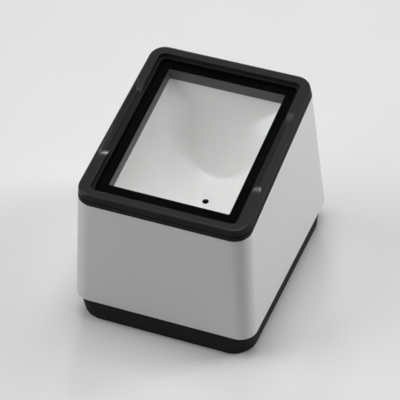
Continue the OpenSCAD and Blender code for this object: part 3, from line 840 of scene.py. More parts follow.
@dataclass(frozen=True)
class BrushedMetal(Finish):
    """Bare metal with fine drawn lines."""

    line_size: float = 0.25
    line_stretch: Triple = (1.0, 1.0, 0.06)
    line_gloss: Flat = (-0.08, 0.1)
    line_depth: float = 0.003

    def lines(self, pen: NodePen) -> Socket:
        """Draws the lines."""
        return pen.noise(self.line_size, CLOUD_DETAIL, self.line_stretch)

    def glossing(self, pen: NodePen) -> Socket:
        """Draws the roughness along the lines."""
        return pen.spread(self.lines(pen), *(self.roughness + step for step in self.line_gloss))

    def add_to(self, pen: NodePen) -> None:
        """Adds the relief of the lines."""
        pen.relief(self.lines(pen), self.line_depth)


@dataclass(frozen=True)
class BoardMask(Finish):
    """Solder mask over copper: darker fields between raised tracks."""

    track_size: float = 1.6
    track_wide: float = 0.08
    track_depth: float = 0.03
    shades: Triple = (0.8, 1.0, 1.35)

    def tracks(self, pen: NodePen) -> bpy.types.Node:
        """Draws the tracks in a square pattern.

        Args:
            pen: The material's pen.

        Returns:
            The pattern's node.
        """
        made = pen.nodes.new("ShaderNodeTexBrick")
        made.inputs["Scale"].default_value = 1.0 / (self.track_size * MM)
        made.inputs["Mortar Size"].default_value = self.track_wide
        for name, shade in zip(("Color1", "Color2", "Mortar"), self.shades):
            made.inputs[name].default_value = shaded(self.colour, shade)
        pen.links.new(pen.place, made.inputs["Vector"])
        return made

    def colouring(self, pen: NodePen) -> Socket:
        """Draws the colours of the tracks and the fields."""
        return self.tracks(pen).outputs["Color"]

    def add_to(self, pen: NodePen) -> None:
        """Adds the height of the tracks."""
        pen.relief(self.tracks(pen).outputs["Fac"], self.track_depth)


SILVER_LACQUER = SilverLacquer(
    "silver_lacquer", (0.58, 0.58, 0.582), 0.45, metallic=0.2, grain_size=0.5, grain_depth=0.006,
)
# painted light: the rim's top gets a darker tone with a stronger sheen than its sides
CHARCOAL_RIM = PaintedTopLightPlastic(
    "charcoal_rim", (0.026, 0.026, 0.0263), 0.24, specular=0.01, mottle=0.03, gloss_spread=0.02,
    grain_size=0.35, grain_depth=0.003,
)
BLACK_TRAY = Finish(
    "black_tray", (0.023, 0.023, 0.0232), 0.55, specular=0.012, mottle=0.06, grain_size=0.5,
    grain_depth=0.02,
)
GREY_COLLAR = Finish(
    "grey_collar", (0.1, 0.1, 0.102), 0.5, specular=0.3, grain_size=0.35, grain_depth=0.02,
)
MILKY_REFLECTOR = MilkyPlastic(
    "milky_reflector", (0.91, 0.91, 0.905), 0.36, specular=0.8, mottle=0.012, mottle_size=14.0,
    grain_depth=0.002,
)
WINDOW_PANE = ClearPane(
    "window_pane", (0.98, 0.98, 0.98), 0.03, mottle_size=20.0, gloss_spread=0.03,
)
BORDER_INK = Finish(
    "border_ink", (0.0022, 0.0022, 0.0023), 0.5, specular=0.004, mottle=0.2, grain_size=0.15,
    grain_depth=0.002,
)
GASKET_FOAM = Finish(
    "gasket_foam", (0.01, 0.01, 0.01), 0.9, mottle=0.3, mottle_size=0.6, grain_size=0.3,
    grain_depth=0.08,
)
WHITE_MASK = BoardMask("white_mask", (0.72, 0.72, 0.7), 0.35)
GREEN_MASK = BoardMask("green_mask", (0.02, 0.13, 0.06), 0.32)
LIGHT_RESIN = MilkyPlastic("light_resin", (0.86, 0.78, 0.42), 0.25, mottle_size=1.5)
IVORY_NYLON = Finish("ivory_nylon", (0.7, 0.66, 0.55), 0.45, mottle_size=3.0)
LEAD_SHEATH = Finish("lead_sheath", (0.35, 0.02, 0.02), 0.4, mottle_size=4.0)
CHIP_RESIN = Finish(
    "chip_resin", (0.014, 0.014, 0.015), 0.55, mottle=0.15, grain_size=0.12, grain_depth=0.012,
)
LENS_GLASS = ClearPane("lens_glass", (0.86, 0.88, 0.93), 0.02, index=1.5, mottle_size=3.0)
RIBBON_FILM = Finish("ribbon_film", (0.6, 0.42, 0.14), 0.3, mottle_size=2.0, grain_size=0.6)
BARE_STEEL = BrushedMetal("bare_steel", (0.56, 0.56, 0.58), 0.32, metallic=1.0, mottle_size=2.0)
BARE_ALUMINIUM = BrushedMetal(
    "bare_aluminium", (0.74, 0.75, 0.77), 0.34, metallic=1.0, mottle_size=2.0,
)
FERRITE_GREY = Finish(
    "ferrite_grey", (0.05, 0.05, 0.055), 0.6, mottle=0.2, mottle_size=1.0, grain_size=0.2,
    grain_depth=0.02,
)
GILT = BrushedMetal("gilt", (0.83, 0.6, 0.24), 0.24, metallic=1.0, mottle_size=2.0)
FOOT_RUBBER = Finish(
    "foot_rubber", (0.02, 0.02, 0.02), 0.75, mottle=0.12, mottle_size=2.0, grain_size=0.3,
    grain_depth=0.03,
)
PALE_FLOOR = Finish(
    "pale_floor", (0.84, 0.84, 0.84), 0.6, specular=0.2, mottle=0.01, mottle_size=120.0,
    grain_size=1.5,
)


@dataclass(frozen=True)
class Place:
    """Where a repeated piece sits, and the way its own +Z points."""

    at: Vector
    way: Vector

    def turn(self) -> Euler:
        """The turn from +Z to the place's way."""
        return self.way.to_track_quat("Z", "Y").to_euler()


@dataclass(frozen=True)
class UprightPlace:
    """Where a repeated piece stands on a level board, and its turn about the vertical."""

    at: Vector
    angle: float

    def turn(self) -> Euler:
        """The turn about the vertical."""
        return Euler((0.0, 0.0, self.angle))


class TreePen:
    """Draws a node tree that sets one made shape on every given place."""

    def __init__(self, title: str, sizes: Sequence[str]) -> None:
        """Starts a tree with a named input for each size.

        Args:
            title: Name of the tree.
            sizes: Names of the sizes.
        """
        self.tree = bpy.data.node_groups.new(title, "GeometryNodeTree")
        sockets = [("Places", "NodeSocketGeometry"), ("Finish", "NodeSocketMaterial")]
        sockets += [(name, "NodeSocketFloat") for name in sizes]
        made = self.tree.interface.new_socket
        self.keys: dict[str, str] = {
            name: made(name=name, in_out="INPUT", socket_type=kind).identifier
            for name, kind in sockets
        }
        made(name="Pieces", in_out="OUTPUT", socket_type="NodeSocketGeometry")
        self.enter = self.tree.nodes.new("NodeGroupInput")
        self.leave = self.tree.nodes.new("NodeGroupOutput")

    def sizes(self, *names: str) -> list[Socket]:
        """The sockets of named inputs."""
        return [self.enter.outputs[name] for name in names]

    def put(self, value: Value, socket: Socket) -> None:
        """Links a socket or sets a number on an input."""
        if isinstance(value, Socket):
            self.tree.links.new(value, socket)
        else:
            socket.default_value = value

    def node(self, kind: str, **inputs: Value) -> bpy.types.Node:
        """Adds a node and fills its inputs by name, with _ for a space in a name.

        Args:
            kind: Type of the node.
            inputs: Sockets to link or numbers to set.

        Returns:
            The node.
        """
        made = self.tree.nodes.new(kind)
        for key, value in inputs.items():
            self.put(value, made.inputs[key.replace("_", " ")])
        return made

    def sum_of(self, way: str, a: Value, b: Value) -> Socket:
        """Works out a number from two."""
        made = self.tree.nodes.new("ShaderNodeMath")
        made.operation = way
        for value, socket in zip((a, b), made.inputs):
            self.put(value, socket)
        return made.outputs[0]

    def times(self, a: Value, b: Value) -> Socket:
        """Product of two numbers."""
        return self.sum_of("MULTIPLY", a, b)

    def plus(self, a: Value, b: Value) -> Socket:
        """Sum of two numbers."""
        return self.sum_of("ADD", a, b)

    def less(self, a: Value, b: Value) -> Socket:
        """Difference of two numbers."""
        return self.sum_of("SUBTRACT", a, b)

    def point(self, x: Value, y: Value, z: Value) -> Socket:
        """A vector from three numbers."""
        return self.node("ShaderNodeCombineXYZ", X=x, Y=y, Z=z).outputs[0]

    def solid(self, kind: str, at: Socket, **inputs: Value) -> Socket:
        """Adds a basic solid and moves it to its place.

        Args:
            kind: Cylinder, Cone, UVSphere or Cube.
            at: Its place.
            inputs: Its sizes by name.

        Returns:
            The shape.
        """
        made = self.node(f"GeometryNodeMesh{kind}", **inputs).outputs["Mesh"]
        return self.node("GeometryNodeTransform", Geometry=made, Translation=at).outputs[0]

    def rod(self, radius: Value, low: Value, length: Value, sides: int = 32) -> Socket:
        """A round rod along +Z, from a lower end."""
        at = self.point(0.0, 0.0, self.plus(low, self.times(length, 0.5)))
        return self.solid("Cylinder", at, Vertices=sides, Radius=radius, Depth=length)

    def cone(
        self, radii: tuple[Value, Value], low: Value, length: Value, sides: int = 32,
    ) -> Socket:
        """A cut cone along +Z, with the radii of its lower and its upper end."""
        bottom, top = radii
        return self.solid(
            "Cone", self.point(0.0, 0.0, low), Vertices=sides, Radius_Bottom=bottom,
            Radius_Top=top, Depth=length,
        )

    def ball(self, radius: Value, height: Value, sides: int) -> Socket:
        """A ball on the Z axis, at the height of its middle."""
        at = self.point(0.0, 0.0, height)
        return self.solid("UVSphere", at, Segments=sides, Rings=sides // 2, Radius=radius)

    def block(self, x: Value, y: Value, z: Value, middle: Socket) -> Socket:
        """A square block."""
        return self.solid("Cube", middle, Size=self.point(x, y, z))

    def combine(self, way: Cut, first: Socket, *others: Socket) -> Socket:
        """Combines shapes.

        Args:
            way: Join, cut away or keep what is common.
            first: The shape that the others are joined to or cut from.
            others: The other shapes.

        Returns:
            The combined shape.
        """
        made = self.tree.nodes.new("GeometryNodeMeshBoolean")
        made.operation = way.value
        made.solver = "EXACT"
        self.tree.links.new(first, made.inputs[0 if way is Cut.AWAY else 1])
        for other in others:
            self.tree.links.new(other, made.inputs[1])
        return made.outputs[0]

    def repeat(self, body: Socket) -> None:
        """Sets a shape on every place and gives it the finish.

        Args:
            body: The shape.
        """
        places, finish = self.sizes("Places", "Finish")
        turn = self.tree.nodes.new("GeometryNodeInputNamedAttribute")
        turn.data_type = "FLOAT_VECTOR"
        turn.inputs["Name"].default_value = TURN
        way = self.node("FunctionNodeEulerToRotation", Euler=turn.outputs[0]).outputs[0]
        laid = self.node("GeometryNodeInstanceOnPoints", Points=places, Instance=body, Rotation=way)
        real = self.node("GeometryNodeRealizeInstances", Geometry=laid.outputs[0]).outputs[0]
        dressed = self.node("GeometryNodeSetMaterial", Geometry=real, Material=finish)
        self.put(dressed.outputs[0], self.leave.inputs[0])


class RepeatedPiece:
    """A small piece, with its sizes as fields, that a node tree sets on every place."""

    def shape(self, pen: TreePen) -> Socket:
        """Draws the piece on its own Z axis."""
        raise NotImplementedError

    def lay(self, name: str, places: Sequence[Place | UprightPlace], finish: Finish) -> Piece:
        """Makes one mesh with the piece on every place.

        Args:
            name: Name of the mesh.
            places: The places.
            finish: The finish.

        Returns:
            The object.
        """
        sizes = {size.name: getattr(self, size.name) for size in fields(self)}
        pen = TreePen(name, list(sizes))
        pen.repeat(self.shape(pen))
        points = bpy.data.meshes.new(name)
        points.from_pydata([place.at * MM for place in places], [], [])
        turns = points.attributes.new(TURN, "FLOAT_VECTOR", "POINT")
        for row, place in zip(turns.data, places):
            row.vector = place.turn()
        holder = new_object(name + "_places", points)
        step = holder.modifiers.new("lay", "NODES")
        step.node_group = pen.tree
        step[pen.keys["Finish"]] = finish.material()
        for key, value in sizes.items():
            step[pen.keys[key]] = value * MM
        made = plain_mesh(holder)
        drop_object(holder)
        piece = new_object(name, made)
        ease_shading(piece)
        return piece


@dataclass
class CrossScrew(RepeatedPiece):
    """A domed screw with a cross recess, driven along its +Z from its head's seat."""

    reach: float
    shank: float = 1.8
    head: float = 3.0
    head_h: float = 1.1
    DOME: ClassVar[float] = 0.7
    CROSS: ClassVar[Flat] = (2.0 / 3.0, 1.0 / 6.0)
    DOME_SIDES: ClassVar[int] = 48
    SHANK_SIDES: ClassVar[int] = 24

    def shape(self, pen: TreePen) -> Socket:
        """Draws the screw, its dome and cross in proportion to its head."""
        reach, shank, head, high = pen.sizes("reach", "shank", "head", "head_h")
        low, half, dome = pen.times(high, -1.0), pen.times(high, 0.5), pen.times(head, self.DOME)
        barrel = pen.rod(pen.times(head, 0.5), low, high)
        ball = pen.ball(dome, pen.plus(low, dome), self.DOME_SIDES)
        start, long = pen.times(high, -0.5), pen.plus(reach, half)
        pin = pen.rod(pen.times(shank, 0.5), start, long, self.SHANK_SIDES)
        whole = pen.combine(Cut.ON, pen.combine(Cut.COMMON, barrel, ball), pin)
        wide, thin = (pen.times(head, share) for share in self.CROSS)
        middle = pen.point(0.0, 0.0, low)
        bars = [pen.block(x, y, high, middle) for x, y in ((wide, thin), (thin, wide))]
        return pen.combine(Cut.AWAY, whole, pen.combine(Cut.ON, *bars))


@dataclass
class RubberFoot(RepeatedPiece):
    """A round foot with a bevelled sole and a shallow cup in it."""

    radius: float = 5.0
    height: float = 1.6
    bevel: float = 0.4
    cup: float = 0.25
    CUP_WALLS: ClassVar[Flat] = (0.66, 0.6)
    SIDES: ClassVar[int] = 64

    def shape(self, pen: TreePen) -> Socket:
        """Draws the foot, its cup in proportion to its radius."""
        radius, height, bevel, cup = pen.sizes("radius", "height", "bevel", "cup")
        sole = pen.cone((pen.less(radius, bevel), radius), 0.0, bevel, self.SIDES)
        body = pen.rod(radius, bevel, pen.less(height, bevel), self.SIDES)
        low, high = (pen.times(radius, share) for share in self.CUP_WALLS)
        hollow = pen.cone((low, high), pen.times(cup, -1.0), pen.times(cup, 2.0), self.SIDES)
        return pen.combine(Cut.AWAY, pen.combine(Cut.ON, sole, body), hollow)


@dataclass
class BoardLight(RepeatedPiece):
    """A square light with a dished window, facing its +Z."""

    wide: float = 3.5
    long: float = 2.8
    high: float = 1.6
    DISH_WALLS: ClassVar[Flat] = (0.3, 0.46)
    DISH_Z: ClassVar[Flat] = (0.65, 0.4)

    def shape(self, pen: TreePen) -> Socket:
        """Draws the light, its dish in proportion to its sides."""
        wide, long, high = pen.sizes("wide", "long", "high")
        body = pen.block(wide, long, high, pen.point(0.0, 0.0, pen.times(high, 0.5)))
        bottom, top = (pen.times(long, share) for share in self.DISH_WALLS)
        start, deep = (pen.times(high, share) for share in self.DISH_Z)
        return pen.combine(Cut.AWAY, body, pen.cone((bottom, top), start, deep))


@dataclass
class ContactWire(RepeatedPiece):
    """A round contact wire along its +Z, with a rounded end."""

    radius: float = 0.225
    length: float = 9.0
    SIDES: ClassVar[int] = 16

    def shape(self, pen: TreePen) -> Socket:
        """Draws the wire."""
        radius, length = pen.sizes("radius", "length")
        end = pen.less(length, radius)
        wire, tip = pen.rod(radius, 0.0, end, self.SIDES), pen.ball(radius, end, self.SIDES)
        return pen.combine(Cut.ON, wire, tip)


@dataclass
class CanCapacitor(RepeatedPiece):
    """A metal can on a foot, with a waist above the foot and a vent cut in its top."""

    radius: float = 2.5
    height: float = 5.4
    RODS: ClassVar[tuple[tuple[float, float, float, int], ...]] = (
        (1.0, 0.0, 0.12, 12), (0.84, 0.06, 0.2, 32), (0.94, 0.22, 0.72, 32),
    )
    TOP_WALLS: ClassVar[Flat] = (0.94, 0.84)
    TOP_Z: ClassVar[Flat] = (0.94, 0.06)
    VENT: ClassVar[Triple] = (1.2, 0.08, 0.04)

    def shape(self, pen: TreePen) -> Socket:
        """Draws the can in proportion to its radius and height."""
        radius, height = pen.sizes("radius", "height")
        rods = [
            pen.rod(pen.times(radius, wide), pen.times(height, low), pen.times(height, long), sides)
            for wide, low, long, sides in self.RODS
        ]
        lower, upper = (pen.times(radius, share) for share in self.TOP_WALLS)
        start, rise = (pen.times(height, share) for share in self.TOP_Z)
        top = pen.cone((lower, upper), start, rise)
        sizes = [pen.times(size, share) for size, share in zip((radius, radius, height), self.VENT)]
        vent = pen.block(*sizes, pen.point(0.0, 0.0, height))
        return pen.combine(Cut.AWAY, pen.combine(Cut.ON, *rods, top), vent)


@dataclass
class ChipLeg(RepeatedPiece):
    """A bent leg of a flat chip: along the board, up and into the body, towards its own -Y."""

    wide: float = 0.35
    reach: float = 1.3
    high: float = 0.6
    thick: float = 0.16

    def shape(self, pen: TreePen) -> Socket:
        """Draws the leg, with its rise half way along it."""
        wide, reach, high, thick = pen.sizes("wide", "reach", "high", "thick")
        half, rest = pen.times(reach, 0.5), pen.times(thick, 0.5)
        bars = [
            pen.block(wide, long, tall, pen.point(0.0, pen.times(reach, at), level))
            for long, tall, at, level in (
                (half, thick, -0.25, rest),
                (thick, high, -0.5, pen.times(high, 0.5)),
                (half, thick, -0.75, pen.less(high, rest)),
            )
        ]
        return pen.combine(Cut.ON, *bars)


@dataclass
class HousingShell:
    """The silver shell, from its lower edge to the flange under the frame."""

    wall: float = 2.4
    rebate: float = 2.2
    rebate_top: float = 16.1
    edge_land: float = 0.8
    flange_t: float = 2.2
    lower_round: float = 0.55
    upper_round: float = 0.4
    round_steps: int = 4
    wall_shares: tuple[float, ...] = (0.0, 0.02, 0.25, 0.5, 0.75, 0.98)
    seam_in: float = 1.2
    notch_top: float = 26.0
    notch_r: float = 0.7
    notch_over: float = 4.0
    notch_steps: tuple[int, int, int] = (4, 1, 1)
    boss_r: float = 3.7
    boss_z: Flat = (15.8, 31.8)
    pilot_r: float = 1.25
    pilot_depth: float = 12.0
    rib_t: float = 2.4
    rib_grip: float = 0.3
    smooth: float = 30.0

    def outside(self) -> list[Loop]:
        """Rings of points, from the lower edge up the outside to the seam.

        Returns:
            The rings.
        """
        foot = level_loop(LOWER_EDGE, FORM.base_h + self.edge_land)
        seam = slope_loop(SEAM, 0.0)
        rings = [
            level_loop(LOWER_EDGE.grown(-inset), FORM.base_h + rise)
            for inset, rise in quarter_round(self.lower_round, self.round_steps)
        ]
        shares = (*self.wall_shares, 1.0 - self.upper_round / FORM.front_h)
        rings += [between(foot, seam, share) for share in shares]
        rings += [
            slope_loop(SEAM.grown(-inset), -drop)
            for drop, inset in quarter_round(self.upper_round, self.round_steps)[1:]
        ]
        return rings + [slope_loop(SEAM.grown(-self.seam_in), 0.0)]

    def inside(self) -> list[Loop]:
        """Rings of points, from the window's opening down the inside to the lower edge.

        Returns:
            The rings.
        """
        rings = [slope_loop(GLASS_EDGE, 0.0), slope_loop(GLASS_EDGE, -self.flange_t)]
        foot = level_loop(LOWER_EDGE.grown(-self.wall), FORM.base_h + self.edge_land)
        seam = slope_loop(SEAM.grown(-self.wall), -self.flange_t)
        step = [a.lerp(b, (self.rebate_top - a.z) / (b.z - a.z)) for a, b in zip(foot, seam)]
        rebate = LOWER_EDGE.grown(-self.rebate)
        lowest = [level_loop(rebate, z) for z in (self.rebate_top, FORM.base_h)]
        return rings + [seam, step] + lowest

    def bosses(self) -> LoopMesh:
        """The four screw bosses."""
        shape = LoopMesh()
        shape.upright_rods(BASE_BOSSES, self.boss_z, self.boss_r)
        return shape

    def ribs(self) -> LoopMesh:
        """The ribs between the bosses and the side walls.

        Returns:
            The ribs' shape.
        """
        shape = LoopMesh()
        reach = FORM.half_lower - self.wall + self.rib_grip
        low, high = self.boss_z
        for x, y in BASE_BOSSES.spots():
            ends = sorted((x, math.copysign(reach, x)))
            shape.block(
                Vector((ends[0], y - self.rib_t / 2, low)),
                Vector((ends[1], y + self.rib_t / 2, high)),
            )
        return shape

    def holes(self) -> LoopMesh:
        """The jack's notch, the pilot holes and the screw passages.

        Returns:
            The holes' shape.
        """
        shape = LoopMesh()
        ends = (FORM.base_h - self.notch_over, self.notch_top)
        notch = square_outline(FORM.notch_half, ends, self.notch_r, *self.notch_steps).points()
        walls = (FORM.notch_front, FORM.back_y + self.notch_over)
        shape.rod([[Vector((x, y, z)) for x, z in notch] for y in walls])
        low = self.boss_z[0]
        pilot = (low - OVER, low + self.pilot_depth)
        shape.upright_rods(BASE_BOSSES, pilot, self.pilot_r, HOLE_SIDES)
        shape.slope_rods(FRAME_SCREWS, (-self.flange_t - OVER, OVER), PASSAGE_R)
        return shape

    def build(self) -> None:
        """Builds, dresses and hands over the shell."""
        shell = skinned("housing_shell", self.outside() + self.inside())
        self.bosses().combine(shell, Cut.ON)
        self.ribs().combine(shell, Cut.ON)
        self.holes().combine(shell, Cut.AWAY)
        ease_shading(shell, self.smooth)
        hand_over(SILVER_LACQUER.dress(shell), Slot.SILVER, "housing")


@dataclass
class RimFrame:
    """The charcoal rim round the window, with a finger scoop in each side."""

    foot_in: float = 0.02
    foot_edge: float = 0.1
    lean_in: float = 0.75
    seat_in: float = 1.2
    groove: float = 0.45
    groove_h: Flat = (2.2, 2.65)
    groove_edge: float = 0.05
    round_foot: float = 3.2
    round_r: float = 1.2
    round_steps: int = 8
    edge_r: float = 0.3
    edge_steps: int = 3
    land: float = 0.05
    rim_half: float = 33.8
    rim_s: Flat = (4.9, 90.7)
    rim_r: float = 3.0
    ledge_h: float = 3.45
    step_in: float = 0.04
    lip_half: float = 32.6
    lip_s: Flat = (6.3, 89.9)
    lip_r: float = 2.4
    lip_edge: tuple[Flat, ...] = ((0.12, 0.0), (0.03, 0.04), (0.0, 0.12))
    glass_top: float = 3.1
    pocket_half: float = 33.2
    pocket_r: float = 2.6
    scoop_s: Flat = (22.0, 74.0)
    scoop_ramp: float = 8.0
    scoop_outer: float = 37.45
    knee: Flat = (36.77, 4.445)
    scoop_inner: Flat = (35.4, 4.0)
    blend: float = 0.35
    # heights between which the painted top tone and sheen fade in
    painted_top_h: Flat = (3.5, 4.1)
    # painted highlight: on the left side the painted top sheen reaches this far further out over
    # the rounded edge
    painted_left_sheen: float = 1.0
    columns: tuple[float, ...] = (
        37.45, 37.3, 37.1, 36.95, 36.77, 36.55, 36.2, 35.8, 35.5, 35.42, 35.36, 35.25, 34.8, 34.3,
    )
    spacing: tuple[tuple[float, float, int], ...] = (
        (9.5, 1.5, 8), (21.0, 0.4, 26), (32.0, 1.6, 21), (64.6, 0.4, 26), (75.5, 1.5, 8),
    )
    smooth: float = 32.0

    def stationed(self, outline: Outline) -> Outline:
        """An outline with its places along the sides close together at the scoops' ramps."""
        marks = [start + step * k for start, step, count in self.spacing for k in range(count)]
        return replace(outline, stations=tuple(marks))

    def wall_in(self, out: float) -> float:
        """How far the leaning outer wall has come in at a height above the seam."""
        return self.foot_in + self.lean_in * out / FORM.frame_h

    def wall(self, inset: float, out: float) -> Loop:
        """A ring along the outer wall, or moved in from it, at a height above the seam."""
        return slope_loop(self.stationed(SEAM.grown(-self.wall_in(out) - inset)), out)

    def inner(self, half: float, ends: Flat, radius: float, out: float, grow: float = 0.0) -> Loop:
        """A ring with parallel sides, as the window's opening has.

        Args:
            half: Half its width.
            ends: Its ends along the slope.
            radius: Radius of its corners.
            out: Height above the seam.
            grow: How far it is moved out.

        Returns:
            The ring's points.
        """
        return slope_loop(self.stationed(square_outline(half, ends, radius).grown(grow)), out)

    def top_at(self, across: float, s: float) -> float:
        """Height of the rim's top.

        Args:
            across: Distance from the middle, as at half the slope.
            s: Place along the slope.

        Returns:
            The height above the seam.
        """
        top = FORM.frame_h
        marks = (
            (FORM.top_w, top), (self.scoop_outer, top), self.knee, self.scoop_inner,
            (self.scoop_inner[0] - self.step_in, self.ledge_h), (0.0, self.ledge_h),
        )
        profile = top
        for (x1, h1), (x0, h0) in zip(marks, marks[1:]):
            if x0 <= across <= x1:
                profile = mixed(h0, h1, (across - x0) / (x1 - x0))
                break
        start, stop = self.scoop_s
        past = abs(s - (start + stop) / 2) - (stop - start) / 2
        share = clamped(past / self.scoop_ramp + 1.0)
        ramp = mixed(self.ledge_h, top, 1.0 - (1.0 - share) ** 2)
        return min(top, soft_max(profile, ramp, self.blend))

    def ring(self, half: float, limit: float) -> Loop:
        """One ring of the rim's top, between the outer wall and the window's opening.

        Args:
            half: Half width of the ring at half the slope.
            limit: Height that the ring doesn't pass.

        Returns:
            The ring's points.
        """
        inset = self.wall_in(FORM.frame_h) + self.round_r + self.land
        middle = FORM.half_at(FORM.top_len / 2)
        share = (middle - inset - half) / (middle - inset - self.rim_half)

        def drift(s: float) -> float:
            """How far a side that follows the wall's taper has moved out."""
            return (FORM.half_at(s) - middle) * (1.0 - share)

        low = mixed(inset, self.rim_s[0], share)
        high = mixed(FORM.top_len - inset, self.rim_s[1], share)
        radius = mixed(FORM.corner_r - inset, self.rim_r, share)
        outline = self.stationed(Outline(half + drift(low), half + drift(high), low, high, radius))
        return [
            FORM.lift(x, s, min(limit, self.top_at(abs(x) - drift(s), s)))
            for x, s in outline.points()
        ]

    def loops(self) -> list[Loop]:
        """Rings of points, from the foot up the outside, over the top and down the inside.

        Returns:
            Rings that close on themselves.
        """
        top, edge, foot = FORM.frame_h, self.groove_edge, self.foot_edge
        low, high = self.groove_h
        profile = [
            (self.seat_in, 0.0), (foot, 0.0), (0.0, foot), (0.0, low - edge), (edge, low),
            (self.groove, low), (self.groove, high), (edge, high), (0.0, high + edge),
            (0.0, self.round_foot),
        ]
        rounded = quarter_round(self.round_r, self.round_steps)
        profile += [(inset, top - drop) for drop, inset in rounded]
        pocket = (self.pocket_half, self.rim_s, self.pocket_r)
        lip = (self.lip_half, self.lip_s, self.lip_r)
        rings = [self.inner(*pocket, 0.0)] + [self.wall(*mark) for mark in profile]
        rings += [self.ring(half, top) for half in self.columns]
        rings += [
            self.ring(self.rim_half + grow, top - drop)
            for grow, drop in quarter_round(self.edge_r, self.edge_steps)
        ]
        corner = self.rim_r + self.step_in
        rings.append(self.inner(self.rim_half, self.rim_s, corner, self.ledge_h, -self.step_in))
        rings += [self.inner(*lip, self.ledge_h - drop, grow) for grow, drop in self.lip_edge]
        return rings + [self.inner(*lip, self.glass_top), self.inner(*pocket, self.glass_top)]

    def mark_painted_top(self, rim: Piece) -> None:
        """Stores how far each point lies up to the top with its painted tone and sheen, for the
        finish.

        Args:
            rim: The rim's object.
        """
        share = rim.data.attributes.new(CHARCOAL_RIM.attribute, "FLOAT", "POINT")
        start = FORM.lift(0.0, 0.0, 0.0)
        along, up = FORM.way(0.0, 1.0, 0.0), FORM.way(0.0, 0.0, 1.0)
        low, high = self.painted_top_h
        for row, vertex in zip(share.data, rim.data.vertices):
            place = vertex.co / MM - start
            s, out = place.dot(along), place.dot(up)
            # painted highlight: the painted top sheen reaches further out on the left side only
            left_sheen = self.painted_left_sheen if place.x < 0.0 else 0.0
            near = min(FORM.half_at(s) - abs(place.x) + left_sheen, s, FORM.top_len - s)
            edge = near - self.wall_in(FORM.frame_h)
            row.value = clamped(min((out - low) / (high - low), edge / self.round_r))

    def build(self) -> None:
        """Builds, dresses and hands over the rim."""
        rim = skinned("window_rim", self.loops())
        holes = LoopMesh()
        holes.slope_rods(FRAME_SCREWS, (-OVER, PILOT_DEPTH), PILOT_R)
        holes.combine(rim, Cut.AWAY)
        self.mark_painted_top(rim)
        ease_shading(rim, self.smooth)
        hand_over(CHARCOAL_RIM.dress(rim), Slot.CHARCOAL, "top_frame")


@dataclass
class WindowStack:
    """Glass, printed border, foam strip and the grey collar below them.

    The border and the collar's upstand are drawn as high as they look through the glass.
    """

    collar_round: float = 0.2
    upstand_h: float = 0.75
    rise: float = 0.6
    glass_h: Flat = (1.9, 3.1)
    glass_edge: float = 0.12
    clear: Outline = square_outline(27.82, (12.45, 85.3), 0.6)
    film_h: Flat = (1.7, 1.88)
    foam_outer: Outline = square_outline(32.7, (5.4, 90.2), 2.1)
    foam_inner: Outline = square_outline(29.5, (10.5, 86.8), 0.6)
    foam_h: Flat = (0.6, 1.7)

    def pane(self) -> Piece:
        """The glass, with its edges ground off.

        Returns:
            The glass.
        """
        low, high = self.glass_h
        cut = self.glass_edge
        small = GLASS_EDGE.grown(-cut)
        mesh = LoopMesh()
        mesh.rod([
            slope_loop(small, low), slope_loop(GLASS_EDGE, low + cut),
            slope_loop(GLASS_EDGE, high - cut), slope_loop(small, high),
        ])
        return mesh.piece("window_pane")

    def band(self, name: str, outer: Outline, inner: Outline, levels: Flat) -> Piece:
        """A flat ring on the slope.

        Args:
            name: Name of the piece.
            outer: Its outer edge.
            inner: Its opening.
            levels: Heights of its two faces above the seam.

        Returns:
            The ring.
        """
        low, high = levels
        corners = ((outer, low), (outer, high), (inner, high), (inner, low))
        return skinned(name, [slope_loop(*corner) for corner in corners])

    def collar(self) -> Piece:
        """The collar with rounded edges, its upstand raised to the border.

        Returns:
            The collar.
        """
        collar = eased_copy("window_collar", "collar_ring", self.collar_round)
        start, up = FORM.lift(0.0, 0.0, 0.0), FORM.way(0.0, 0.0, 1.0)
        for vertex in collar.data.vertices:
            if (vertex.co / MM - start).dot(up) > self.upstand_h:
                vertex.co += up * self.rise * MM
        return collar

    def build(self) -> None:
        """Builds, dresses and hands over the layers."""
        hand_over(WINDOW_PANE.dress(self.pane()), Slot.GLASS, "window_glass")
        film = self.band("border_print", GLASS_EDGE, self.clear, self.film_h)
        hand_over(BORDER_INK.dress(film), Slot.FILM, "border_film")
        foam = self.band("foam_strip", self.foam_outer, self.foam_inner, self.foam_h)
        hand_over(GASKET_FOAM.dress(foam), Slot.FOAM, "window_gasket")
        hand_over(GREY_COLLAR.dress(self.collar()), Slot.GREY, "window_collar")


@dataclass(frozen=True)
class WallFrame:
    """The frame of a light board on one side wall of the bowl."""

    middle_x: float = 25.0
    middle_s: float = 48.65
    middle_h: float = -20.185
    lean: float = math.radians(15.91)

    def carry(self, side: Side, down: float, along: float, out: float) -> Vector:
        """Carries a point of the wall's frame to the part's frame.

        Args:
            side: Left or right wall.
            down: Place down the wall.
            along: Place along the slope.
            out: Distance from the wall.

        Returns:
            The point in the part's frame.
        """
        c, s = math.cos(self.lean), math.sin(self.lean)
        x = side.value * (self.middle_x - down * s + out * c)
        return FORM.lift(x, self.middle_s + along, self.middle_h - down * c - out * s)

    def places(self, side: Side, marks: Sequence[float], out: float) -> list[Place]:
        """Places along the wall, at a distance from it, that face it."""
        inward = self.carry(side, 0.0, 0.0, 0.0) - self.carry(side, 0.0, 0.0, 1.0)
        return [Place(self.carry(side, 0.0, mark, out), inward) for mark in marks]

    def rods(self, mesh: LoopMesh, out: Flat, radius: float, sides: int) -> None:
        """Adds a round rod at every light post.

        Args:
            mesh: The mesh that takes the rods.
            out: Distances of their ends from the wall.
            radius: Their radius.
            sides: Number of sides.
        """
        for side in Side:
            for along in LIGHT_POSTS:
                mesh.disc_rod(*(self.carry(side, 0.0, along, end) for end in out), radius, sides)


WALL = WallFrame()


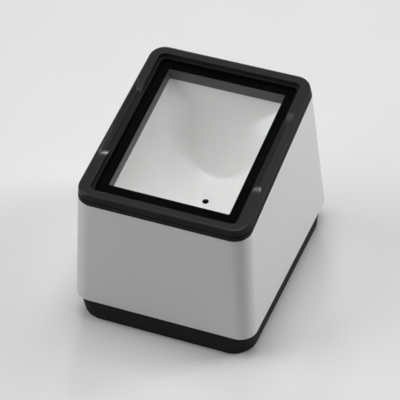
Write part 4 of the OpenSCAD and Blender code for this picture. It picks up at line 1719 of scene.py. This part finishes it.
@dataclass
class ReflectorBowl:
    """The white bowl under the window, with the camera's hole in its floor."""

    thickness: float = 1.5
    top_h: float = -4.4
    top_half: float = 28.0
    top_s: Flat = (12.0, 85.3)
    top_r: float = 1.2
    waist_h: float = -35.97
    waist_half: float = 19.0
    waist_long: float = 24.0
    waist_r: float = 10.0
    middle_s: float = 50.4
    floor_h: float = -41.97
    floor_r: float = 6.0
    wall_pull: float = 0.85
    floor_pull: float = 0.95
    trough_r: float = 20.0
    trough_x: float = 18.72
    end_foot: float = 14.6
    fillet: float = 5.0
    crease: float = 2.6
    valley: float = 10.0
    valley_shares: Triple = (0.06, 0.55, 0.36)
    corner_share: float = 0.8
    flat_r: float = 2.6
    eye_r: float = 1.5
    eye_round: float = 0.1
    eye_steps: int = 4
    eye_flare: float = 0.7
    flange_half: float = 33.0
    flange_s: Flat = (7.0, 90.3)
    flange_r: float = 2.4
    post_r: float = 2.2
    post_low: float = -53.47
    light_post_r: float = 2.0
    light_post_sides: int = 32
    light_post_out: Flat = (-0.75, 3.0)
    light_pilot_out: Flat = (0.4, 4.0)
    wall_rings: int = 30
    hollow_rings: int = 110
    floor_rings: int = 8
    steps: tuple[int, int, int] = (14, 40, 36)
    smooth: float = 40.0

    def depth(self) -> float:
        """Depth of the hollow."""
        return self.top_h - self.floor_h

    def waist(self) -> Outline:
        """The bowl's outline near its floor."""
        ends = (self.middle_s - self.waist_long, self.middle_s + self.waist_long)
        return square_outline(self.waist_half, ends, self.waist_r, *self.steps)

    def sag(self, x: float) -> float:
        """Height of the round trough above the floor, at a distance from its middle."""
        return self.trough_r - math.sqrt(self.trough_r ** 2 - x ** 2)

    def half_at(self, rise: float) -> float:
        """Half the hollow's width: a round trough that opens into straight walls.

        Args:
            rise: Height above the floor.

        Returns:
            The half width.
        """
        knee = self.sag(self.trough_x)
        if rise < knee:
            return math.sqrt(self.trough_r ** 2 - (self.trough_r - rise) ** 2)
        return mixed(self.trough_x, self.top_half, (rise - knee) / (self.depth() - knee))

    def end_lean(self, reach: float) -> float:
        """Angle of an end wall, from the distance of its top from the middle."""
        return math.atan2(self.depth(), reach - self.end_foot)

    def end_at(self, rise: float, reach: float) -> float:
        """How far from the middle an end wall stands: a fillet, then a straight slope.

        Args:
            rise: Height above the floor.
            reach: Distance of the wall's top from the middle.

        Returns:
            The distance from the middle.
        """
        lean = self.end_lean(reach)
        if rise < self.fillet * (1.0 - math.cos(lean)):
            across = math.sqrt(self.fillet ** 2 - (self.fillet - rise) ** 2)
            return self.fillet_start(reach) + across
        return self.end_foot + rise / math.tan(lean)

    def fillet_start(self, reach: float) -> float:
        """Where the fillet of an end wall begins, from the middle."""
        return self.end_foot - self.fillet * math.tan(self.end_lean(reach) / 2)

    def floor_at(self, x: float, s: float) -> float:
        """Height of the strip along the middle of the trough.

        Args:
            x: Place across.
            s: Place along the slope.

        Returns:
            The height above the seam.
        """
        reach = abs(self.top_s[s > self.middle_s] - self.middle_s)
        over = max(0.0, abs(s - self.middle_s) - self.fillet_start(reach))
        climb = self.fillet - math.sqrt(self.fillet ** 2 - over ** 2)
        return self.floor_h + max(self.sag(x), climb)

    def level(self, share: float) -> Outline:
        """Outline of the hollow at one height.

        Args:
            share: The height, from 0 at the floor to 1 at the top.

        Returns:
            The outline.
        """
        rise = self.depth() * share
        half = self.half_at(rise)
        low, high = (abs(self.middle_s - s) for s in self.top_s)
        begin, grow, fade = self.valley_shares
        wide = self.crease + self.valley * soft_step((share - begin) / grow) - self.top_r
        corner = self.top_r + wide * soft_step((1.0 - share) / fade)
        ends = self.middle_s - self.end_at(rise, low), self.middle_s + self.end_at(rise, high)
        return square_outline(half, ends, min(corner, half * self.corner_share), *self.steps)

    def hollow(self) -> list[Loop]:
        """Rings of the hollow.

        Returns:
            Rings from the top down to the flat round the hole.
        """
        foot = self.sag(self.flat_r) / self.depth()
        rings = []
        for k in range(self.hollow_rings + 1):
            share = mixed(foot, 1.0, (1.0 - k / self.hollow_rings) ** 2)
            rings.append(slope_loop(self.level(share), self.floor_h + self.depth() * share))
        start = [Vector(p) for p in self.level(foot).points()]
        stop = self.circle(self.eye_r + 2 * self.eye_round)
        for k in range(1, self.floor_rings + 1):
            strip = between(start, stop, k / self.floor_rings)
            rings.append([FORM.lift(*p, self.floor_at(*p)) for p in strip])
        return rings

    def side(self, grow: float) -> list[Loop]:
        """Rings of the bowl's outside, on a curve from the top edge to the floor.

        Args:
            grow: How far the side lies outside the solid's hollow.

        Returns:
            Rings from the top down to the flat round the hole.
        """
        top = square_outline(self.top_half, self.top_s, self.top_r, *self.steps)
        centre = Vector((0.0, self.middle_s, self.floor_h - grow))
        curves = []
        for a, b in zip(top.grown(grow).points(), self.waist().grown(grow).points()):
            start, wall = Vector((*a, self.top_h)), Vector((*b, self.waist_h - grow))
            bearing = Vector((b[0], b[1] - self.middle_s, 0.0))
            curves.append((
                start, start.lerp(wall, self.wall_pull), centre + bearing * self.floor_pull,
                centre + bearing.normalized() * self.floor_r,
            ))
        shares = [k / self.wall_rings for k in range(self.wall_rings + 1)]
        return [[FORM.lift(*curve_point(curve, t)) for curve in curves] for t in shares]

    def circle(self, radius: float) -> Loop:
        """A ring round the camera's axis, as places across and along the slope."""
        centre = Vector((0.0, self.middle_s))
        bearings = [(Vector(p) - centre).normalized() for p in self.waist().points()]
        return [centre + bearing * radius for bearing in bearings]

    def eye(self) -> list[Loop]:
        """Rings of the camera's hole, from its rounded edge down to its flare.

        Returns:
            The rings.
        """
        marks = [
            (self.eye_r + grow, drop)
            for grow, drop in quarter_round(self.eye_round, self.eye_steps)
        ]
        marks.append((self.eye_r + self.eye_flare, self.thickness))
        return [
            [FORM.lift(*p, self.floor_h - drop) for p in self.circle(radius)]
            for radius, drop in marks
        ]

    def posts(self) -> LoopMesh:
        """The posts of the camera board and of the light boards."""
        shape = LoopMesh()
        ends = (self.post_low, self.floor_h - self.thickness / 2)
        shape.slope_rods(CAMERA_POSTS, ends, self.post_r, POST_SIDES)
        WALL.rods(shape, self.light_post_out, self.light_post_r, self.light_post_sides)
        return shape

    def holes(self) -> LoopMesh:
        """The screw holes of the flange and the posts."""
        shape = LoopMesh()
        through = (self.top_h - self.thickness - OVER, self.top_h + OVER)
        shape.slope_rods(REFLECTOR_SCREWS, through, PASSAGE_R)
        pilot = (self.post_low - OVER, self.post_low + PILOT_DEPTH)
        shape.slope_rods(CAMERA_POSTS, pilot, PILOT_R)
        WALL.rods(shape, self.light_pilot_out, PILOT_R, HOLE_SIDES)
        return shape

    def build(self) -> None:
        """Builds, dresses and hands over the bowl."""
        flange = square_outline(self.flange_half, self.flange_s, self.flange_r, *self.steps)
        brim = [slope_loop(flange, out) for out in (self.top_h - self.thickness, self.top_h)]
        outside = self.side(self.thickness)[:0:-1]
        bowl = skinned("reflector_bowl", self.hollow() + self.eye() + outside + brim)
        self.posts().combine(bowl, Cut.ON)
        self.holes().combine(bowl, Cut.AWAY)
        ease_shading(bowl, self.smooth)
        hand_over(MILKY_REFLECTOR.dress(bowl), Slot.WHITE, "reflector")


@dataclass
class BaseTray:
    """The black tray under the housing."""

    tongue_in: float = 2.5
    tongue_edge: float = 0.3
    side_in: float = 1.8
    end_in: float = 2.04
    corner_top: float = 5.7
    corner_foot: float = 11.3
    bottom: float = 0.15
    top: float = 15.8
    edge: float = 0.4
    edge_steps: int = 4
    levels: tuple[float, ...] = (2.0, 4.0, 6.0, 8.0, 10.0)
    joint: Flat = (0.1, 0.05)
    wall: float = 2.0
    floor_top: float = 2.7
    boss_low: float = 1.6
    boss_r: float = 4.0
    sink_r: float = 2.6
    sink_top: float = 8.5
    passage_low: float = 4.0
    passage_r: float = 1.35
    post_r: float = 2.8
    post_top: float = 10.7
    foot_r: float = 5.15
    foot_top: float = 1.6
    foot_sides: int = 48
    smooth: float = 32.0

    def outer(self, z: float, inset: float = 0.0) -> Loop:
        """The outside at one height, its corners rounder towards the table.

        Args:
            z: Height above the table.
            inset: How far the loop is moved in.

        Returns:
            The loop's points.
        """
        radius = mixed(self.corner_foot, self.corner_top, z / FORM.base_h)
        ends = FORM.front_y + self.end_in, FORM.back_y - self.end_in
        outline = square_outline(FORM.half_lower - self.side_in, ends, radius)
        return level_loop(outline.grown(-inset), z)

    def shell(self) -> Piece:
        """The tray without its bosses and holes.

        Returns:
            The shell.
        """
        rings = [
            self.outer(self.bottom + rise, inset)
            for inset, rise in quarter_round(self.edge, self.edge_steps)
        ]
        below, above = (FORM.base_h - gap for gap in self.joint)
        rings += [self.outer(z) for z in (*self.levels, below)]
        tongue = LOWER_EDGE.grown(-self.tongue_in)
        edge = tongue.grown(-self.tongue_edge)
        inner = tongue.grown(-self.wall)
        rings += [level_loop(tongue, z) for z in (above, self.top - self.tongue_edge)]
        rings.append(level_loop(edge, self.top))
        rings += [level_loop(inner, z) for z in (self.top, FORM.base_h)]
        rings.append(self.outer(self.floor_top, self.wall))
        mesh = LoopMesh()
        mesh.rod(rings)
        return mesh.piece("base_tray")

    def build(self) -> None:
        """Builds, dresses and hands over the tray."""
        tray = self.shell()
        bosses, sinks, passages, rest = LoopMesh(), LoopMesh(), LoopMesh(), LoopMesh()
        bosses.upright_rods(BASE_BOSSES, (self.boss_low, self.top), self.boss_r)
        bosses.upright_rods(BOARD_POSTS, (self.boss_low, self.post_top), self.post_r)
        sinks.upright_rods(BASE_BOSSES, (-OVER, self.sink_top), self.sink_r)
        through = (self.passage_low, self.top + OVER)
        passages.upright_rods(BASE_BOSSES, through, self.passage_r, HOLE_SIDES)
        pilot = (self.post_top - PILOT_DEPTH, self.top)
        passages.upright_rods(BOARD_POSTS, pilot, PILOT_R, HOLE_SIDES)
        rest.upright_rods(FEET, (-OVER, self.foot_top), self.foot_r, self.foot_sides)
        rest.block(
            Vector((-FORM.notch_half, FORM.notch_front, FORM.base_h)),
            Vector((FORM.notch_half, FORM.back_y, self.top + 2 * OVER)),
        )
        bosses.combine(tray, Cut.ON)
        for tool in (sinks, passages, rest):
            tool.combine(tray, Cut.AWAY)
        ease_shading(tray, self.smooth)
        hand_over(BLACK_TRAY.dress(tray), Slot.BLACK, "base")


def row_of(count: int, pitch: float) -> list[float]:
    """Marks of a row about its middle."""
    return [(k - (count - 1) / 2) * pitch for k in range(count)]


def level_places(at: Pairs, z: float, way: Vector) -> list[Place]:
    """Places at one height above the table, that face up or down."""
    return [Place(Vector((*spot, z)), way) for spot in at.spots()]


def slope_places(at: Pairs, out: float) -> list[Place]:
    """Places at one height above the seam, that face out of the window."""
    return [Place(FORM.lift(*spot, out), FORM.way(0.0, 0.0, 1.0)) for spot in at.spots()]


@dataclass
class LightBoards:
    """The two light boards behind the bowl's side walls, with their sockets and leads."""

    gap: float = 3.0
    pitch: float = 7.0
    count: int = 4
    socket_round: float = 0.3
    strand_r: float = 0.4
    strand_sides: int = 12
    lay_r: float = 0.38
    turns: float = 6.0
    steps: int = 90
    socket_low: float = 5.0
    socket_out: float = 5.95
    pull: float = 12.0
    lower_x: float = 22.0
    lower_z: float = 16.3
    smooth: float = 60.0

    def route(self, side: Side) -> tuple[Vector, Vector, Vector, Vector]:
        """The four points of a lead's curve, from the light board to the main board.

        Args:
            side: Left or right.

        Returns:
            The points.
        """
        start, first = (
            WALL.carry(side, down, 0.0, self.socket_out)
            for down in (self.socket_low, self.socket_low + self.pull)
        )
        end = Vector((side.value * self.lower_x, start.y, self.lower_z))
        return start, first, end + UP * self.pull, end

    def lead(self, side: Side) -> Piece:
        """A lead of two twisted strands.

        Args:
            side: Left or right.

        Returns:
            The lead's object.
        """
        mesh = LoopMesh()
        route = self.route(side)
        step = 0.5 / self.steps
        for strand in whole_turn(2):
            loops = []
            for k in range(self.steps + 1):
                share = k / self.steps
                ahead, behind = (curve_point(route, clamped(share + d)) for d in (step, -step))
                way = (ahead - behind).normalized()
                across = way.cross(Vector((0.0, 1.0, 0.0))).normalized()
                over = way.cross(across)
                turn = strand + 2.0 * math.pi * self.turns * share
                twist = across * math.cos(turn) + over * math.sin(turn)
                middle = curve_point(route, share) + twist * self.lay_r
                loops.append([
                    middle + (across * math.cos(a) + over * math.sin(a)) * self.strand_r
                    for a in whole_turn(self.strand_sides)
                ])
            mesh.rod(loops)
        return mesh.piece(f"{side.name.lower()}_twisted_lead")

    def build(self) -> None:
        """Dresses the boards, lays the lights and twists the leads."""
        for side in Side:
            word = side.name.lower()
            WHITE_MASK.dress_nodes(f"{word}_light_board")
            places = WALL.places(side, row_of(self.count, self.pitch), self.gap)
            row = BoardLight().lay(f"{word}_light_row", places, LIGHT_RESIN)
            hand_over(row, Slot.RESIN, f"{word}_lights")
            lead = self.lead(side)
            ease_shading(lead, self.smooth)
            hand_over(LEAD_SHEATH.dress(lead), Slot.SHEATH, f"{word}_light_lead")
        for node in ("light_sockets", "lead_sockets"):
            IVORY_NYLON.mould(node, Slot.IVORY, self.socket_round)


@dataclass
class CameraModule:
    """The camera that looks up through the hole in the bowl."""

    holder_round: float = 0.35
    barrel_round: float = 0.2
    socket_round: float = 0.175

    def build(self) -> None:
        """Dresses the camera's pieces and rounds the moulded ones."""
        GREEN_MASK.dress_nodes("camera_board")
        CHIP_RESIN.dress_nodes("image_sensor")
        BLACK_TRAY.mould("lens_holder", Slot.BLACK, self.holder_round)
        BLACK_TRAY.mould("lens_barrel", Slot.BLACK, self.barrel_round)
        BLACK_TRAY.dress_nodes("lens_spacer")
        LENS_GLASS.dress_nodes("front_lens", "rear_lens")
        RIBBON_FILM.dress_nodes("camera_ribbon")
        for node in ("camera_socket", "ribbon_socket"):
            IVORY_NYLON.mould(node, Slot.IVORY, self.socket_round)


@dataclass(frozen=True)
class FlatChip:
    """A flat chip on the main board."""

    node: str
    at: Flat
    size: Triple
    legs: tuple[int, int] = (0, 0)
    pitch: float = 0.8
    leg: ChipLeg = field(default_factory=ChipLeg)
    leg_share: float = 0.7
    stand: float = 0.1
    belt: float = 0.06
    draft: float = 0.12
    top_draft: float = 0.18
    corner_r: float = 0.25
    steps: tuple[int, int, int] = (4, 2, 2)
    dimple_in: float = 1.2
    dimple_r: float = 0.45
    dimple_depth: float = 0.12

    def body(self, level: float) -> Piece:
        """The moulded body, with drafted sides and a dimple at its first leg.

        Args:
            level: Height of the board's top.

        Returns:
            The body's object.
        """
        x, y = self.at
        high = self.size[2]
        legged = self.leg.reach * self.leg_share
        across, along = (
            size / 2 - (legged if count else 0.0)
            for size, count in zip(self.size, reversed(self.legs))
        )
        foot = self.stand if any(self.legs) else 0.0
        middle = (foot + high) / 2
        profile = (
            (foot, self.draft), (middle - self.belt, 0.0), (middle + self.belt, 0.0),
            (high - self.belt, self.draft), (high, self.top_draft),
        )
        loops = []
        for z, inset in profile:
            ends = (y - along + inset, y + along - inset)
            flat = square_outline(across - inset, ends, self.corner_r, *self.steps)
            loops.append([p + Vector((x, 0.0, 0.0)) for p in level_loop(flat, level + z)])
        mesh = LoopMesh()
        mesh.rod(loops)
        piece = mesh.piece(f"{self.node}_body")
        spot = Vector((x - across + self.dimple_in, y - along + self.dimple_in, level + high))
        dimple = LoopMesh()
        dimple.disc_rod(spot - UP * self.dimple_depth, spot + UP * OVER, self.dimple_r, HOLE_SIDES)
        dimple.combine(piece, Cut.AWAY)
        ease_shading(piece)
        return piece

    def leg_places(self, level: float) -> list[UprightPlace]:
        """Feet of the legs, and the turn of each about the vertical.

        Args:
            level: Height of the board's top.

        Returns:
            The places, side by side.
        """
        found: list[UprightPlace] = []
        quarter = math.pi / 2
        for way, turns in ((0, (0.0, math.pi)), (1, (quarter, -quarter))):
            count, reach = self.legs[way], self.size[1 - way] / 2
            for turn in turns:
                around = Matrix.Rotation(turn, 3, "Z")
                for x in row_of(count, self.pitch):
                    foot = around @ Vector((x, reach, 0.0))
                    found.append(UprightPlace(Vector((*self.at, level)) + foot, turn))
        return found


@dataclass
class MainBoard:
    """The main board with its chips, cans and buzzer."""

    level: float = 12.3
    cans: Pairs = Pairs(14.0, (39.1745, 31.1745))
    chips: tuple[FlatChip, ...] = (
        FlatChip("decoder_chip", (0.0, -14.367), (14.0, 14.0, 1.2), (14, 14)),
        FlatChip("memory_chip", (-15.0, -13.367), (8.0, 12.5, 1.1), (0, 14)),
        FlatChip("power_chip", (15.0, -18.367), (5.0, 5.0, 1.0)),
    )
    crystal_round: float = 0.3
    block_round: float = 0.4

    def build(self) -> None:
        """Dresses the board and builds what stands on it."""
        GREEN_MASK.dress_nodes("main_board")
        for chip in self.chips:
            body = hand_over(CHIP_RESIN.dress(chip.body(self.level)), Slot.CHIP, chip.node)
            places = chip.leg_places(self.level)
            if places:
                legs = chip.leg.lay(f"{body.name}_legs", places, BARE_STEEL)
                hand_over(legs, Slot.STEEL)
        places = level_places(self.cans, self.level, UP)
        cans = CanCapacitor().lay("can_capacitors", places, BARE_ALUMINIUM)
        hand_over(cans, Slot.ALUMINIUM, "capacitors")
        BARE_STEEL.mould("crystal", Slot.STEEL, self.crystal_round)
        FERRITE_GREY.mould("inductor", Slot.FERRITE, self.block_round)
        BLACK_TRAY.mould("buzzer", Slot.BLACK, self.block_round)


@dataclass
class JackUnit:
    """The socket for the lead, at the back."""

    edge: float = 0.3
    count: int = 8
    pitch: float = 1.02
    start_y: float = 37.6745
    height: float = 23.475

    def build(self) -> None:
        """Rounds the jack's edges and lays its contacts."""
        BLACK_TRAY.mould("jack_body", Slot.BLACK, self.edge, "jack_moulding")
        back = Vector((0.0, 1.0, 0.0))
        places = [
            Place(Vector((x, self.start_y, self.height)), back)
            for x in row_of(self.count, self.pitch)
        ]
        hand_over(ContactWire().lay("jack_wires", places, GILT), Slot.GOLD, "jack_contacts")


@dataclass
class Underside:
    """The feet under the base."""

    foot: RubberFoot = field(default_factory=RubberFoot)

    def build(self) -> None:
        """Lays the four feet."""
        pads = self.foot.lay("foot_pads", level_places(FEET, 0.0, UP), FOOT_RUBBER)
        hand_over(pads, Slot.RUBBER, "rubber_feet")


@dataclass
class Fasteners:
    """Every screw, by what it holds, with the height of its head's seat."""

    frame_out: float = -4.4
    reflector_out: float = -5.9
    camera_out: float = -54.67
    light_out: float = 4.2
    board_z: float = 12.3
    base_z: float = 8.5
    frame_screw: CrossScrew = field(default_factory=lambda: CrossScrew(6.7))
    reflector_screw: CrossScrew = field(default_factory=lambda: CrossScrew(3.8))
    module_screw: CrossScrew = field(default_factory=lambda: CrossScrew(3.5))
    board_screw: CrossScrew = field(default_factory=lambda: CrossScrew(3.9))
    base_screw: CrossScrew = field(default_factory=lambda: CrossScrew(17.3, 2.4, 4.6, 2.0))

    def build(self) -> None:
        """Lays every group of screws."""
        lights = [
            place for side in Side for place in WALL.places(side, LIGHT_POSTS, self.light_out)
        ]
        bowl = slope_places(REFLECTOR_SCREWS, self.reflector_out)
        groups = (
            ("frame", self.frame_screw, slope_places(FRAME_SCREWS, self.frame_out)),
            ("reflector", self.reflector_screw, bowl),
            ("camera", self.module_screw, slope_places(CAMERA_POSTS, self.camera_out)),
            ("light", self.module_screw, lights),
            ("board", self.board_screw, level_places(BOARD_POSTS, self.board_z, -UP)),
            ("base", self.base_screw, level_places(BASE_BOSSES, self.base_z, UP)),
        )
        for word, screw, places in groups:
            node = f"{word}_screws"
            hand_over(screw.lay(f"{node}_set", places, BARE_STEEL), Slot.STEEL, node)


@dataclass
class Viewpoint:
    """The camera, at the photograph's angle."""

    eye: Triple = (247.457, -652.285, 629.985)
    right: Triple = (0.93417, 0.35685, 0.0)
    back: Triple = (0.27218, -0.71253, 0.64670)
    lens: float = 181.08
    sensor: float = 36.0
    near: float = 10.0

    def build(self) -> None:
        """Makes the camera and gives it to the scene."""
        camera = new_object("viewpoint", bpy.data.cameras.new("viewpoint"))
        back, right = Vector(self.back).normalized(), Vector(self.right).normalized()
        turn = Matrix((right, back.cross(right), back)).transposed().to_4x4()
        camera.matrix_world = Matrix.Translation(Vector(self.eye) * MM) @ turn
        camera.data.lens = self.lens
        camera.data.sensor_width = self.sensor
        camera.data.clip_start = self.near * MM
        bpy.context.scene.camera = camera


@dataclass(frozen=True)
class SoftBox:
    """A square lamp that looks at the scanner."""

    name: str
    place: Triple
    size: float
    power: float
    aim: Triple = (0.0, 0.0, 45.0)

    def build(self) -> None:
        """Makes the lamp."""
        data = bpy.data.lights.new(self.name, "AREA")
        data.shape = "SQUARE"
        data.size = self.size * MM
        data.energy = self.power
        lamp = new_object(self.name, data)
        spot = Vector(self.place) * MM
        lamp.location = spot
        lamp.rotation_euler = (spot - Vector(self.aim) * MM).to_track_quat("Z", "Y").to_euler()


@dataclass
class Studio:
    """Floor, lamps and the pale surround, which is seen but gives no light."""

    floor_half: float = 3000.0
    lamps: tuple[SoftBox, ...] = (
        SoftBox("left_key", (-550.0, -250.0, 800.0), 500.0, 2.5),
        SoftBox("low_left", (-790.0, -520.0, 350.0), 620.0, 2.2),
        SoftBox("low_back_right", (810.0, 560.0, 150.0), 250.0, 4.0),
        SoftBox("high_back_right", (600.0, 350.0, 720.0), 400.0, 2.0),
        SoftBox("overhead", (0.0, 50.0, 1000.0), 480.0, 3.7),
        SoftBox("back", (-330.0, 840.0, 430.0), 190.0, 1.6),
    )
    world_light: float = 0.0
    world_seen: float = 0.9
    seen_rays: tuple[str, ...] = ("Is Camera Ray", "Is Glossy Ray", "Is Transmission Ray")

    def floor(self) -> Piece:
        """The floor, as one large face.

        Returns:
            The floor.
        """
        h = self.floor_half
        sheet = LoopMesh()
        corners = ((-h, -h), (h, -h), (h, h), (-h, h))
        rows = sheet.skin([[Vector((x, y, 0.0)) for x, y in corners]])
        sheet.cap(rows[0])
        return PALE_FLOOR.dress(sheet.piece("floor"))

    def surround(self) -> None:
        """Makes the world, pale where the camera, mirrors and glass see it."""
        world = bpy.data.worlds.new("surround")
        bpy.context.scene.world = world
        world.use_nodes = True
        nodes, links = world.node_tree.nodes, world.node_tree.links
        light, seen = nodes["Background"], nodes.new("ShaderNodeBackground")
        for shader, strength in ((light, self.world_light), (seen, self.world_seen)):
            shader.inputs["Color"].default_value = WHITE
            shader.inputs["Strength"].default_value = strength
        path = nodes.new("ShaderNodeLightPath")
        share = path.outputs[self.seen_rays[0]]
        for ray in self.seen_rays[1:]:
            either = nodes.new("ShaderNodeMath")
            either.use_clamp = True
            links.new(share, either.inputs[0])
            links.new(path.outputs[ray], either.inputs[1])
            share = either.outputs[0]
        mix = nodes.new("ShaderNodeMixShader")
        for source, socket in zip((share, light.outputs[0], seen.outputs[0]), mix.inputs):
            links.new(source, socket)
        links.new(mix.outputs[0], nodes["World Output"].inputs["Surface"])

    def build(self) -> None:
        """Makes the floor, the lamps and the world."""
        self.floor()
        for lamp in self.lamps:
            lamp.build()
        self.surround()
        bpy.context.scene.view_settings.view_transform = "Standard"


def main() -> None:
    """Builds the camera, every sub-assembly and the stage, in order."""
    logging.basicConfig(level=logging.INFO, format="%(message)s")
    parts = (
        Viewpoint(), HousingShell(), RimFrame(), WindowStack(), ReflectorBowl(), LightBoards(),
        CameraModule(), MainBoard(), JackUnit(), BaseTray(), Underside(), Fasteners(), Studio(),
    )
    for part in parts:
        LOG.info("building %s", type(part).__name__)
        part.build()


if __name__ == "__main__":
    main()
